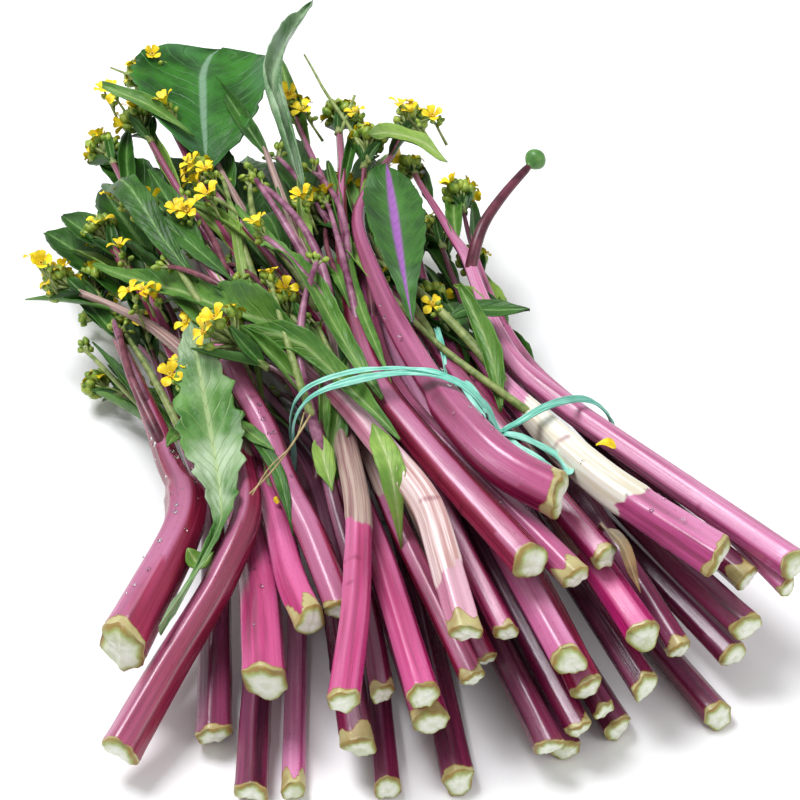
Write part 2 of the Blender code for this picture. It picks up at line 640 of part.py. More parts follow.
class HeightField:
    """The height of what lies highest at each place, for laying leaves and the bow over it."""

    def __init__(self):
        """An empty field over the whole bunch."""
        self.shape = (int((FIELD_X[1] - FIELD_X[0]) / CELL), int((FIELD_Y[1] - FIELD_Y[0]) / CELL))
        self.top = np.zeros(self.shape)

    def cells(self, x, y):
        """Indices of the cells that hold these places."""
        column = np.clip(((x - FIELD_X[0]) / CELL).astype(int), 1, self.shape[0] - 2)
        row = np.clip(((y - FIELD_Y[0]) / CELL).astype(int), 1, self.shape[1] - 2)
        return column, row

    def add_stem(self, line, radii):
        """Raise the field over one stem and its head."""
        steps = np.linspace(0, 1, 8, endpoint=False)[:, None, None]
        fine = (line[:-1] + steps * (line[1:] - line[:-1])).reshape(-1, 3)
        size = (radii[:-1] + steps[..., 0] * (radii[1:] - radii[:-1])).reshape(-1)
        fine, size = np.vstack([fine, line[-1]]), np.append(size, radii[-1])
        for centre, radius in zip(fine, size):
            near = np.arange(-math.ceil(radius / CELL) - 1, math.ceil(radius / CELL) + 2)
            column, row = self.cells(centre[:1], centre[1:2])
            columns = np.clip(column + near, 0, self.shape[0] - 1)
            rows = np.clip(row + near, 0, self.shape[1] - 1)
            x = FIELD_X[0] + (columns + 0.5) * CELL - centre[0]
            y = FIELD_Y[0] + (rows + 0.5) * CELL - centre[1]
            square = radius**2 - x[:, None] ** 2 - y[None, :] ** 2
            height = np.where(square > 0, centre[2] + np.sqrt(np.clip(square, 0, None)), 0)
            window = np.ix_(columns, rows)
            self.top[window] = np.maximum(self.top[window], height)

    def add_points(self, points):
        """Raise the field to a surface that is given by close points."""
        column, row = self.cells(points[:, 0], points[:, 1])
        np.maximum.at(self.top, (column, row), points[:, 2])

    def wide(self):
        """The field with each cell raised to the highest of its neighbours."""
        result = self.top.copy()
        for dx in (-1, 0, 1):
            for dy in (-1, 0, 1):
                result = np.maximum(result, np.roll(self.top, (dx, dy), (0, 1)))
        return result


class Strip:
    """A leaf or a piece of flat strap, laid as a strip of cells over a height field."""

    def __init__(self, path, widths, columns, step):
        """Lay out the plan of the strip."""
        path = [tuple(point) + (0,) * (3 - len(point)) for point in path]
        length = sum(math.dist(a[:2], b[:2]) for a, b in zip(path, path[1:]))
        self.count = max(4, round(length / step) + 1)
        self.line = smooth_line(path, self.count)
        along = np.gradient(self.line[:, :2], axis=0)
        along /= np.linalg.norm(along, axis=1)[:, None]
        across = np.stack([along[:, 1], -along[:, 0]], 1)
        half = np.interp(np.linspace(0, 1, self.count), np.linspace(0, 1, len(widths)), widths)
        self.columns = np.array(columns)
        self.plan = self.line[:, None, :2] + (half[:, None] * self.columns)[..., None] * across[:, None]
        self.lowest = np.repeat(self.line[:, 2:], len(columns), 1)
        self.form = np.zeros_like(self.lowest)

    def shape(self, cup, wave, waves):
        """Cup the strip and wave its edges."""
        edge = np.abs(self.columns)[None, :] ** 2
        run = np.linspace(0, 1, self.count)[:, None]
        fade = np.sin(math.pi * np.clip(run, 0.05, 0.95))
        side = np.sign(self.columns)[None, :]
        self.form = edge * fade * (cup + wave * (1 + np.sin(2 * math.pi * waves * run + 1.4 * side)))

    def triangles(self):
        """Index triples of the strip's upper face."""
        wide = len(self.columns)
        index = np.arange(self.count * wide).reshape(self.count, wide)
        a, b, c, d = index[:-1, :-1], index[1:, :-1], index[1:, 1:], index[:-1, 1:]
        lower = np.stack([a, b, c], -1).reshape(-1, 3)
        upper = np.stack([a, c, d], -1).reshape(-1, 3)
        return np.vstack([lower, upper])

    def samples(self, parts=9):
        """Triangles and weights of points spread over the whole face."""
        steps = [(i, j) for i in range(parts + 1) for j in range(parts + 1 - i)]
        weights = np.array([(i, j, parts - i - j) for i, j in steps]) / parts
        triangles = self.triangles()
        corners = np.repeat(triangles, len(weights), 0)
        return corners, np.tile(weights, (len(triangles), 1))

    def lay(self, field, clearance):
        """Let the strip sink until it rests on the field."""
        corners, weights = self.samples()
        flat = self.plan.reshape(-1, 2)
        spots = (flat[corners] * weights[..., None]).sum(1)
        need = field.wide()[field.cells(spots[:, 0], spots[:, 1])] + clearance
        share = weights / (weights**2).sum(1)[:, None]
        lowest = (self.lowest + self.form).reshape(-1)
        height = np.full(len(flat), max(need.max(), lowest.max()) + 4.0)
        for step in range(DRAPE_STEPS + CALM_DRAPE):
            if step < DRAPE_STEPS:
                height = self.relaxed(height, lowest)
            short = need - (height[corners] * weights).sum(1)
            push = np.zeros_like(height)
            np.maximum.at(push, corners, np.clip(short, 0, None)[:, None] * share)
            height += push
        self.height = height.reshape(self.lowest.shape)
        return self

    def relaxed(self, height, lowest):
        """Heights after a little sinking and smoothing."""
        free = (height - DRAPE_FALL).reshape(self.form.shape) - self.form
        smooth = free.copy()
        smooth[1:-1] = 0.5 * free[1:-1] + 0.25 * (free[:-2] + free[2:])
        smooth[0] = free[0] + 0.5 * (2 * free[1] - free[2] - free[0]) if self.count > 2 else free[0]
        smooth[-1] = free[-1] + 0.5 * (2 * free[-2] - free[-3] - free[-1]) if self.count > 2 else free[-1]
        level = smooth.mean(1, keepdims=True)
        smooth += 0.2 * (level - smooth)
        return np.maximum((smooth + self.form).reshape(-1), lowest)

    def thickness(self, blade, rib):
        """Upright thickness at each place, more where the strip is steep or has its midrib."""
        down = np.gradient(self.height, axis=0)
        step = np.linalg.norm(np.gradient(self.plan, axis=0), axis=2)
        over = np.gradient(self.height, axis=1)
        gap = np.linalg.norm(np.gradient(self.plan, axis=1), axis=2)
        slope = np.sqrt(1 + (down / step) ** 2 + (over / gap) ** 2)
        return blade * np.clip(slope, 1, 2.2) + rib * (np.abs(self.columns) < 0.1)

    def mesh(self, blade, rib):
        """A closed mesh of the strip, split alike on both of its faces."""
        thick = self.thickness(blade, rib)
        low = np.dstack([self.plan, self.height]).reshape(-1, 3)
        high = np.dstack([self.plan, self.height + thick]).reshape(-1, 3)
        bm = bmesh.new()
        under = [bm.verts.new(point) for point in low]
        over = [bm.verts.new(point) for point in high]
        for a, b, c in self.triangles():
            bm.faces.new((over[a], over[b], over[c]))
            bm.faces.new((under[c], under[b], under[a]))
        rim = self.rim()
        for a, b in zip(rim, rim[1:] + rim[:1]):
            bm.faces.new((under[a], under[b], over[b], over[a]))
        self.upper = high
        return bm

    def rim(self):
        """Indices round the edge of the strip."""
        wide = len(self.columns)
        index = np.arange(self.count * wide).reshape(self.count, wide)
        right = list(index[:, -1])
        left = list(index[::-1, 0])
        return list(index[0, :-1]) + right[:-1] + list(index[-1, :0:-1]) + left[:-1]

    def face_points(self):
        """Close points all over the upper face."""
        corners, weights = self.samples(14)
        return (self.upper[corners] * weights[..., None]).sum(1)

    def cover(self, field):
        """Raise the field over the laid strip."""
        field.add_points(self.face_points())


def build_leaves(names, high, low):
    """Lay the named leaves one after another, and return the points of those under the tie."""
    points = []
    for name in names:
        path, widths, cup, wave, waves = LEAVES[name]
        field = low if name in LOW_LEAVES else high
        strip = Strip(path, widths, LEAF_COLUMNS, LEAF_STEP)
        strip.shape(cup, wave, waves)
        strip.lay(field, LEAF_CLEARANCE)
        add_body(name, strip.mesh(BLADE_THICKNESS, MIDRIB_RISE), "leaf")
        if name not in LOW_LEAVES:
            strip.cover(field)
        if name in TIED_LEAVES:
            points.append(strip.face_points())
    return np.vstack(points)


class Tie:
    """The flat strap round the waist, with its second strand, knot and bow."""

    def __init__(self, place, radii, rows, leaf_points):
        """Find how far the waist reaches in each direction."""
        self.normals = np.linspace(0, 2 * math.pi, 2 * TIE_SIDES, endpoint=False)
        stems = tie_support(place, radii, rows, self.normals)
        leaves = []
        for angle in self.normals:
            near = leaf_points[np.abs(leaf_points[:, 1] - tie_plane(angle)) < LEAF_SLAB_HALF]
            reach = near[:, 0] * math.cos(angle) + near[:, 2] * math.sin(angle)
            leaves.append(reach.max() if len(near) else -1e3)
        self.reach = np.maximum(stems, np.array(leaves) + 2 * FACE_GAP)
        slab = waist_slab(place, radii, rows, TIE_Y)
        low, high = slab[:, :2].min(0), slab[:, :2].max(0)
        self.centre = 0.5 * (low + high)
        self.half = 0.5 * (high - low) + slab[:, 2].mean()

    def point(self, angle, clearance):
        """A point of the loop in one direction from its middle: x, y and z."""
        ray = np.array([math.cos(angle), math.sin(angle)])
        facing = np.stack([np.cos(self.normals), np.sin(self.normals)], 1)
        toward = facing @ ray
        limit = self.reach + clearance - facing @ self.centre
        distance = (limit[toward > 0.2] / toward[toward > 0.2]).min()
        x, z = self.centre + distance * ray
        normal = math.atan2(math.sin(angle) * self.half[0] ** 2, math.cos(angle) * self.half[1] ** 2)
        return np.array([x, tie_plane(normal), z])

    def corners(self, angles, clearance, closed):
        """Corners of the loop, moved out so that its straight pieces stay clear too."""
        places = [self.point(angle, clearance) for angle in angles]
        slack = np.zeros(len(angles))
        for first in range(len(angles) if closed else len(angles) - 1):
            second = (first + 1) % len(angles)
            turn = (angles[second] - angles[first]) % (2 * math.pi)
            for share in (0.25, 0.5, 0.75):
                between = self.point(angles[first] + share * turn, clearance)
                chord = places[first] + share * (places[second] - places[first])
                gap = math.dist(between[::2], chord[::2])
                slack[[first, second]] = np.maximum(slack[[first, second]], gap)
        return np.array([self.point(angle, clearance + more) for angle, more in zip(angles, slack)])

    def strap(self, angles, clearance, thickness, width, shift, closed):
        """A closed mesh of strap that follows the loop over these directions."""
        inner = self.corners(angles, clearance, closed)
        inner[:, 1] += shift
        along = np.roll(inner, -1, 0) - np.roll(inner, 1, 0) if closed else np.gradient(inner, axis=0)
        out = np.stack([along[:, 2], np.zeros(len(along)), -along[:, 0]], 1)
        outer = inner + thickness * out / np.linalg.norm(out, axis=1)[:, None]
        bm = bmesh.new()
        edge = np.array([0.0, 0.5 * width, 0.0])
        rings = []
        for low, high in zip(inner, outer):
            rings.append([bm.verts.new(point) for point in (low - edge, high - edge, high + edge, low + edge)])
        pairs = list(zip(rings, rings[1:])) + ([(rings[-1], rings[0])] if closed else [])
        for first, second in pairs:
            for a in range(4):
                b = (a + 1) % 4
                bm.faces.new((first[a], first[b], second[b], second[a]))
        if not closed:
            bm.faces.new(rings[0][::-1])
            bm.faces.new(rings[-1])
        return bm

    def build(self, field):
        """Make the loop and fuse the strand, the knot and the bow to it."""
        turns = np.linspace(0, 2 * math.pi, TIE_SIDES, endpoint=False)
        angles = np.arctan2(self.half[1] * np.sin(turns), self.half[0] * np.cos(turns))
        ring = self.strap(angles, TIE_CLEARANCE, TIE_THICKNESS, TIE_WIDTH, 0.0, True)
        body = add_body("tie", ring, "tie")
        span = np.linspace(*STRAND_SPAN, 9)
        shift = STRAND_SHIFT * np.sin(np.linspace(0, math.pi, 9)) ** 0.6
        strand = self.strap(span, TIE_CLEARANCE - 0.15, TIE_THICKNESS + 0.3, STRAND_WIDTH, shift, False)
        spots = np.array([(KNOT[0] + x, KNOT[1] + y) for x in (-6, -3, 0, 3, 6) for y in (-5, 0, 5)])
        floor = field.wide()[field.cells(spots[:, 0], spots[:, 1])].max() + FACE_GAP
        level = min((self.point(angle, TIE_CLEARANCE) for angle in angles), key=lambda p: math.dist(p[:2], KNOT))[2]
        level = max(level + 0.5 * TIE_THICKNESS, floor + 1.2)
        pieces = [strand, self.knot(floor, level)]
        for name, (path, half_width) in BOW.items():
            strip = Strip(path, [half_width, half_width], BOW_COLUMNS, BOW_STEP)
            strip.lowest[0] = level - 0.6
            if name == "loop":
                strip.lowest[-1] = level - 0.5
            strip.lay(field, LEAF_CLEARANCE)
            pieces.append(strip.mesh(TIE_THICKNESS - 0.1, 0.0))
        fuse(body, pieces, "tie")

    def knot(self, floor, level):
        """The knot, a ball on top of the loop that is flattened against the stems."""
        knot = bmesh.new()
        bmesh.ops.create_icosphere(knot, subdivisions=2, radius=1.0)
        bmesh.ops.scale(knot, vec=KNOT_RADII, verts=knot.verts)
        bmesh.ops.translate(knot, verts=knot.verts, vec=(*KNOT, level))
        for vert in knot.verts:
            vert.co.z = max(vert.co.z, floor)
        return knot


def set_on_base():
    """Move everything so that the origin is at the middle of the base."""
    meshes = [thing for thing in bpy.data.objects if thing.type == "MESH"]
    corners = np.vstack([[tuple(vert.co) for vert in thing.data.vertices] for thing in meshes])
    low, high = corners.min(0), corners.max(0)
    shift = (-0.5 * (low[0] + high[0]), -0.5 * (low[1] + high[1]), -low[2])
    for thing in meshes:
        thing.data.transform(Matrix.Translation(shift))
    print("moved by", [round(value / MM, 2) for value in shift])


def main():
    """Build the whole bunch."""
    for thing in list(bpy.data.objects):
        bpy.data.objects.remove(thing)
    names, place, radii = settle()
    high, low = HeightField(), HeightField()
    stems = [Stem(name, line, sizes) for name, line, sizes in zip(names, place, radii)]
    for stem in stems:
        stem.build()
        high.add_stem(stem.line, stem.radii)
        if stem.line[:, 2].max() < SHELF_Z[1]:
            low.add_stem(stem.line, stem.radii)
        if stem.name == BRANCH_STEM:
            stem.round_bud()
    leaf_points = build_leaves(LEAVES, high, low)
    rows = [row for row, name in enumerate(names) if name in TIED]
    Tie(place, radii, rows, leaf_points).build(high)
    set_on_base()


main()
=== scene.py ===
"""The looks of a tied bunch of purple choy sum that lies on a pale floor.

Every stem, leaf and bud head is traced from its solid in the frame and is then made again as a finer piece:
ribbed glossy stems with cut ends, veined leaves, heads of small buds with open four-petalled flowers, and a
folded plastic tie.
"""
import logging
import math
import random
from dataclasses import dataclass, field
from enum import Enum

import bmesh
import bpy
import numpy as np
from mathutils import Matrix, Vector
from mathutils.bvhtree import BVHTree


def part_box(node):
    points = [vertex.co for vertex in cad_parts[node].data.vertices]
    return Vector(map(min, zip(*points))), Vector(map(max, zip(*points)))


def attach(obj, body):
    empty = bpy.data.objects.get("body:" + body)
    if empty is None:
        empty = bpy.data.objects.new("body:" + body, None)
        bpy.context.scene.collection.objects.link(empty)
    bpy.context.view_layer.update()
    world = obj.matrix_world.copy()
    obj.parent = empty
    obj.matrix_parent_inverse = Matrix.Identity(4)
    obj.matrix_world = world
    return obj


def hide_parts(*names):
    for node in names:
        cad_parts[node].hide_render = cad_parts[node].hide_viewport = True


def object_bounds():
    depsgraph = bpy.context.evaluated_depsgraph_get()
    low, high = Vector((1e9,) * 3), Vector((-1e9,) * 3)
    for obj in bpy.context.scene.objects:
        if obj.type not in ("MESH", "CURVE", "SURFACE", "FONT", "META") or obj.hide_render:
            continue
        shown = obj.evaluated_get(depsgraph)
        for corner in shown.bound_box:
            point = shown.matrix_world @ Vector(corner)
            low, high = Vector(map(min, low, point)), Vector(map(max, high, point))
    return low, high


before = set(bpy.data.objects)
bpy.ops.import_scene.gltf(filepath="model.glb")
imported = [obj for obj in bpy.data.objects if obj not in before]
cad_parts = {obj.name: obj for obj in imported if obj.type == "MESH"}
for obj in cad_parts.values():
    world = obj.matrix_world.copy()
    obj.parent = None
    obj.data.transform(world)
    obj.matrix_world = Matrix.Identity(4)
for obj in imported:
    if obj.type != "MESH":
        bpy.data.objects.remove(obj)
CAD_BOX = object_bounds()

LOG = logging.getLogger("choy_sum")
Colour = tuple[float, float, float]
MM = 0.001
BODY = "root"

# The camera: where the middle of the tied waist is, and how the photograph looks at it
AIM = Vector((12.0, -38.2, 50.0)) * MM
VIEW_TURN = math.radians(-15.6)
VIEW_RISE = math.radians(42.0)
VIEW_DISTANCE = 1.0
LENS_MM = 105.75
SENSOR_MM = 36.0

# What rises above the first height is eased down so that it stays under the top of the frame's box
EASE_ROOM = 5 * MM
EASE_FROM = CAD_BOX[1][2] - EASE_ROOM + 1 * MM

GOLDEN_ANGLE = math.pi * (3 - math.sqrt(5))
COAT_ROUGHNESS = 0.27


class StemTone(Enum):
    """The colour families of the stems."""

    HOT_PINK = "hot_pink"
    MAGENTA = "magenta"
    MAUVE = "mauve"
    ROSE = "rose"
    PALE = "pale"
    DARK = "dark"


class LeafKind(Enum):
    """The kinds of leaf blade in the bunch."""

    BROAD = "broad"
    ROLLED = "rolled"
    VIOLET_RIB = "violet_rib"
    NARROW = "narrow"
    MOTTLED = "mottled"
    FRESH = "fresh"
    GLOSSY = "glossy"
    DRY = "dry"


STEM_TONES: dict[str, StemTone] = {
    "stem_01": StemTone.HOT_PINK,
    "stem_02": StemTone.PALE,
    "stem_03": StemTone.MAGENTA,
    "stem_04": StemTone.MAUVE,
    "stem_05": StemTone.MAGENTA,
    "stem_06": StemTone.ROSE,
    "stem_07": StemTone.ROSE,
    "stem_08": StemTone.HOT_PINK,
    "stem_09": StemTone.MAUVE,
    "stem_10": StemTone.MAGENTA,
    "stem_12": StemTone.MAGENTA,
    "stem_13": StemTone.MAUVE,
    "stem_14": StemTone.MAGENTA,
    "stem_15": StemTone.ROSE,
    "stem_16": StemTone.MAUVE,
    "stem_18": StemTone.HOT_PINK,
    "stem_22": StemTone.ROSE,
    "stem_33": StemTone.MAUVE,
    "stem_34": StemTone.MAUVE,
    "stem_36": StemTone.HOT_PINK,
    "stem_37": StemTone.HOT_PINK,
    "stem_38": StemTone.MAUVE,
    "stem_40": StemTone.ROSE,
}
LEAF_KINDS: dict[str, LeafKind] = {
    "leaf_01": LeafKind.GLOSSY,
    "leaf_02": LeafKind.ROLLED,
    "leaf_03": LeafKind.VIOLET_RIB,
    "leaf_07": LeafKind.MOTTLED,
    "leaf_08": LeafKind.BROAD,
    "leaf_10": LeafKind.FRESH,
    "leaf_12": LeafKind.BROAD,
    "leaf_13": LeafKind.BROAD,
}
# Which leaves show their underside, which heads are nodes of their own, which have the most flowers, which stem has
# no head and which has the side branch
FLIPPED_LEAVES = {"leaf_08"}
OWN_HEADS = {"stem_03", "stem_08", "stem_11", "stem_34", "stem_38"}
RICH_HEADS = {"stem_34": 5, "stem_08": 4, "stem_38": 4, "stem_11": 4}
BARE_STEM = "stem_01"
BRANCH_STEM = "stem_07"


def unit(vector: np.ndarray) -> np.ndarray:
    """The vector at length one."""
    return vector / max(float(np.linalg.norm(vector)), 1e-12)


def smoothed(rows: np.ndarray, passes: int) -> np.ndarray:
    """Rows with their bends eased, and the ends kept.

    Args:
        rows: one row a station.
        passes: how often each row moves towards its neighbours.

    Returns:
        The eased rows.
    """
    moved = rows.astype(float).copy()
    for _ in range(passes):
        moved[1:-1] = 0.5 * moved[1:-1] + 0.25 * (moved[:-2] + moved[2:])
    return moved


def runs_along(line: np.ndarray) -> np.ndarray:
    """How far along a line each of its places is."""
    return np.concatenate([[0], np.cumsum(np.linalg.norm(np.diff(line, axis=0), axis=1))])


def headings(line: np.ndarray) -> np.ndarray:
    """The direction of a line at each of its places."""
    along = np.gradient(line, axis=0)
    return along / np.linalg.norm(along, axis=1)[:, None]


def resampled(rows: np.ndarray, count: int) -> np.ndarray:
    """Rows at equal steps along a line whose first three columns are its places.

    Args:
        rows: one row a station.
        count: how many stations are wanted.

    Returns:
        The new rows.
    """
    run = runs_along(rows[:, :3])
    even = np.linspace(0, run[-1], count)
    return np.stack([np.interp(even, run, rows[:, column]) for column in range(rows.shape[1])], 1)


def eased(path: np.ndarray, fine: int, passes: int, count: int) -> np.ndarray:
    """A rounded line through a few places.

    Args:
        path: the places.
        fine: how many stations the line has while it is eased.
        passes: how often it is eased.
        count: how many stations it has in the end.

    Returns:
        The line.
    """
    return resampled(smoothed(resampled(path, fine), passes), count)


def inner_box(edge: float) -> tuple[np.ndarray, np.ndarray]:
    """The corners of the frame's box, drawn in by an edge."""
    return np.array(CAD_BOX[0]) + edge, np.array(CAD_BOX[1]) - edge


def ring_places(middle: np.ndarray, size: float, side: np.ndarray, up: np.ndarray, sides: int) -> np.ndarray:
    """Places on a circle.

    Args:
        middle: the circle's middle.
        size: its radius.
        side: the direction in which it starts.
        up: the direction to which it turns.
        sides: how many places it has.

    Returns:
        The places.
    """
    angles = np.arange(sides) * 2 * math.pi / sides
    return middle + size * (np.outer(np.cos(angles), side) + np.outer(np.sin(angles), up))


def next_ring(bm: bmesh.types.BMesh, last: list | None, points: np.ndarray, cap: bool = False) -> tuple[list, list]:
    """Start a tube with a circle, or extrude its last ring to the next one.

    Args:
        bm: the mesh.
        last: the vertices of the last ring in order, or None at the start.
        points: the places of the new ring.
        cap: whether the first circle is closed by a face.

    Returns:
        The new ring in the same order, and the new faces.
    """
    sides, faces = len(points), []
    if last is None:
        made = bmesh.ops.create_circle(bm, cap_ends=cap, segments=sides, radius=1.0)["verts"]
    else:
        edges = [bm.edges.get((last[k], last[(k + 1) % sides])) for k in range(sides)]
        found = bmesh.ops.extrude_edge_only(bm, edges=edges)["geom"]
        fresh = {item for item in found if isinstance(item, bmesh.types.BMVert)}
        made = [next(e.other_vert(v) for e in v.link_edges if e.other_vert(v) in fresh) for v in last]
        faces = [item for item in found if isinstance(item, bmesh.types.BMFace)]
    for vert, point in zip(made, points):
        vert.co = point
    return made, faces


def lay_grid(part: bmesh.types.BMesh, surface: np.ndarray, spots: np.ndarray, marks: np.ndarray) -> None:
    """Lay a grid over rows of places, and give it pattern coordinates.

    Args:
        part: an empty mesh.
        surface: rows, places across and coordinates.
        spots: the pattern coordinate of each place across.
        marks: the pattern coordinate of each row.
    """
    rind = part.loops.layers.uv.new("rind")
    rows, columns = surface.shape[:2]
    place = {}
    for vert in bmesh.ops.create_grid(part, x_segments=columns - 1, y_segments=rows - 1, size=1.0)["verts"]:
        column = round((vert.co.x + 1) / 2 * (columns - 1))
        row = round((vert.co.y + 1) / 2 * (rows - 1))
        place[vert] = (spots[column], marks[row])
        vert.co = surface[row, column]
    for face in part.faces:
        for loop in face.loops:
            loop[rind].uv = place[loop.vert]


def node_triangles(name: str) -> np.ndarray:
    """The triangles of a node of the frame.

    Args:
        name: the node's name.

    Returns:
        An array of triangles, corners and coordinates, in metres.
    """
    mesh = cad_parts[name].data
    mesh.calc_loop_triangles()
    places = np.empty(3 * len(mesh.vertices))
    mesh.vertices.foreach_get("co", places)
    corners = np.empty(3 * len(mesh.loop_triangles), int)
    mesh.loop_triangles.foreach_get("vertices", corners)
    return places.reshape(-1, 3)[corners.reshape(-1, 3)]


def section(triangles: np.ndarray, origin: np.ndarray, normal: np.ndarray) -> np.ndarray:
    """Where a plane cuts triangles.

    Args:
        triangles: the triangles.
        origin: a point of the plane.
        normal: the plane's normal.

    Returns:
        Line pieces, two ends each.
    """
    depth = (triangles - origin) @ normal
    hit = (depth.min(1) < 0) & (depth.max(1) > 0)
    triangles, depth = triangles[hit], depth[hit]
    places, crossed = [], []
    for a, b in ((0, 1), (1, 2), (2, 0)):
        crossed.append(depth[:, a] * depth[:, b] < 0)
        span = np.where(crossed[-1], depth[:, a] - depth[:, b], 1.0)
        share = (depth[:, a] / span)[:, None]
        places.append(triangles[:, a] + share * (triangles[:, b] - triangles[:, a]))
    crossed = np.stack(crossed, 1)
    places = np.stack(places, 1)[crossed.sum(1) == 2]
    crossed = crossed[crossed.sum(1) == 2]
    return places[crossed].reshape(-1, 2, 3)


@dataclass
class StemTrace:
    """The middle line of a stem, traced through its solid from the cut end to the neck of its head.

    Args:
        node: the stem's node.
        step: how far apart its stations are.
        cut_clearance: how far from the cut end the first whole section is.
        aim_step: how far on the section is that gives the first direction.
        ring_reach: how far from the stem's middle its skin may be.
        most_stations: how many stations it has at the most.
        head_swell: how much wider than the last a station may be, so that the head does not swell the stem.
        head_neck: the share of the last radius below which the stem has ended.
        sideways_limit: how far the middle line may move sideways in a step.
        line: the middle line.
        radii: the radius at each of its stations.
        cut_normal: the way that the cut end faces.
    """

    node: str
    step: float = 4 * MM
    cut_clearance: float = 13 * MM
    aim_step: float = 14 * MM
    ring_reach: float = 22 * MM
    most_stations: int = 130
    head_swell: float = 1.04
    head_neck: float = 0.62
    sideways_limit: float = 1.2 * MM
    line: np.ndarray = field(init=False)
    radii: np.ndarray = field(init=False)
    cut_normal: np.ndarray = field(init=False)

    def __post_init__(self) -> None:
        """Trace the solid."""
        triangles = node_triangles(self.node)
        corners = triangles.reshape(-1, 3)
        low = corners[corners[:, 1].argmin()]
        way = unit(corners.mean(0) - low)
        for _ in range(3):
            first = self._ring(triangles, low + self.cut_clearance * way, way, self.ring_reach)[0]
            second = self._ring(triangles, first + self.aim_step * way, way, self.ring_reach)[0]
            way = unit(second - first)
        start, self.cut_normal = self._cut(triangles, low, way)
        self._follow(triangles, start, first, way)

    def _cut(self, triangles: np.ndarray, low: np.ndarray, way: np.ndarray) -> tuple[np.ndarray, np.ndarray]:
        """The middle of the cut end and the way that it faces.

        Args:
            triangles: the solid's triangles.
            low: a place near the cut.
            way: the stem's direction there.

        Returns:
            The place and the direction.
        """
        sides = np.cross(triangles[:, 1] - triangles[:, 0], triangles[:, 2] - triangles[:, 0])
        area = np.linalg.norm(sides, axis=1)
        middle = triangles.mean(1)
        near = np.linalg.norm(middle - low, axis=1) < 26 * MM
        facing = sides @ way / np.maximum(area, 1e-12)
        cap = near & (facing < facing[near].min() + 0.08)
        centre = (middle[cap] * area[cap, None]).sum(0) / area[cap].sum()
        return centre, unit(sides[cap].sum(0))

    def _ring(self, triangles: np.ndarray, place: np.ndarray, way: np.ndarray,
              reach: float) -> tuple[np.ndarray, float] | None:
        """Cut the solid near a place.

        Args:
            triangles: the solid's triangles.
            place: the place.
            way: the direction across which it is cut.
            reach: how far from the place the section may be.

        Returns:
            The section's middle and radius, or None where there is none.
        """
        pieces = section(triangles, place, way)
        middles = pieces.mean(1)
        pieces = pieces[np.linalg.norm(middles - place, axis=1) < reach]
        if len(pieces) < 4:
            return None
        lengths = np.linalg.norm(pieces[:, 1] - pieces[:, 0], axis=1)
        centre = (pieces.mean(1) * lengths[:, None]).sum(0) / lengths.sum()
        return centre, float(np.percentile(np.linalg.norm(pieces.reshape(-1, 3) - centre, axis=1), 70))

    def _follow(self, triangles: np.ndarray, start: np.ndarray, first: np.ndarray, way: np.ndarray) -> None:
        """Follow the stem until its solid ends or its head begins.

        Args:
            triangles: the solid's triangles.
            start: the middle of the cut end.
            first: the middle of the first whole section.
            way: the stem's direction there.
        """
        radius = self._ring(triangles, first, way, 30 * MM)[1]
        line, radii = [start], [radius]
        place = first
        while len(line) < self.most_stations:
            found = self._ring(triangles, place, way, 2.0 * radii[-1])
            if found is None or found[1] < self.head_neck * radii[-1]:
                break
            shift = found[0] - place
            centre = place + shift * min(1.0, self.sideways_limit / max(float(np.linalg.norm(shift)), 1e-9))
            line.append(centre)
            radii.append(min(found[1], self.head_swell * radii[-1]))
            way = unit(0.6 * way + 0.4 * unit(centre - line[-2]))
            place = centre + self.step * way
        rows = smoothed(np.column_stack([np.array(line), radii]), 6)
        self.line, self.radii = rows[:, :3], rows[:, 3]

    @property
    def length(self) -> float:
        """The length of the stem."""
        return float(runs_along(self.line)[-1])

    @property
    def direction(self) -> np.ndarray:
        """The direction in which the stem ends."""
        return unit(self.line[-1] - self.line[-5])

    def at(self, share: float) -> tuple[np.ndarray, np.ndarray, float]:
        """A place on the stem.

        Args:
            share: how far along it is, from 0 at the cut end to 1.

        Returns:
            The middle of the stem there, its direction and its radius.
        """
        index = min(int(share * (len(self.line) - 1)), len(self.line) - 2)
        return self.line[index], unit(self.line[index + 1] - self.line[index]), float(self.radii[index])

    def room(self, node: str) -> tuple[float, float]:
        """How far a head's solid reaches sideways and forwards from the neck.

        Args:
            node: the node that holds the head.

        Returns:
            The head's radius and length.
        """
        corners = node_triangles(node).reshape(-1, 3) - self.line[-1]
        ahead = corners @ self.direction
        corners, ahead = corners[ahead > 2 * MM], ahead[ahead > 2 * MM]
        across = np.linalg.norm(corners - ahead[:, None] * self.direction, axis=1)
        near = across < 20 * MM
        return float(np.percentile(across[near], 96)), float(ahead[near].max())


@dataclass(frozen=True)
class BladeShape:
    """The upper face of one leaf as rows of points from its base to its tip.

    Args:
        surface: rows, places across and coordinates.
        half: the half width of each row.
        length: the leaf's length.
    """

    surface: np.ndarray
    half: np.ndarray
    length: float


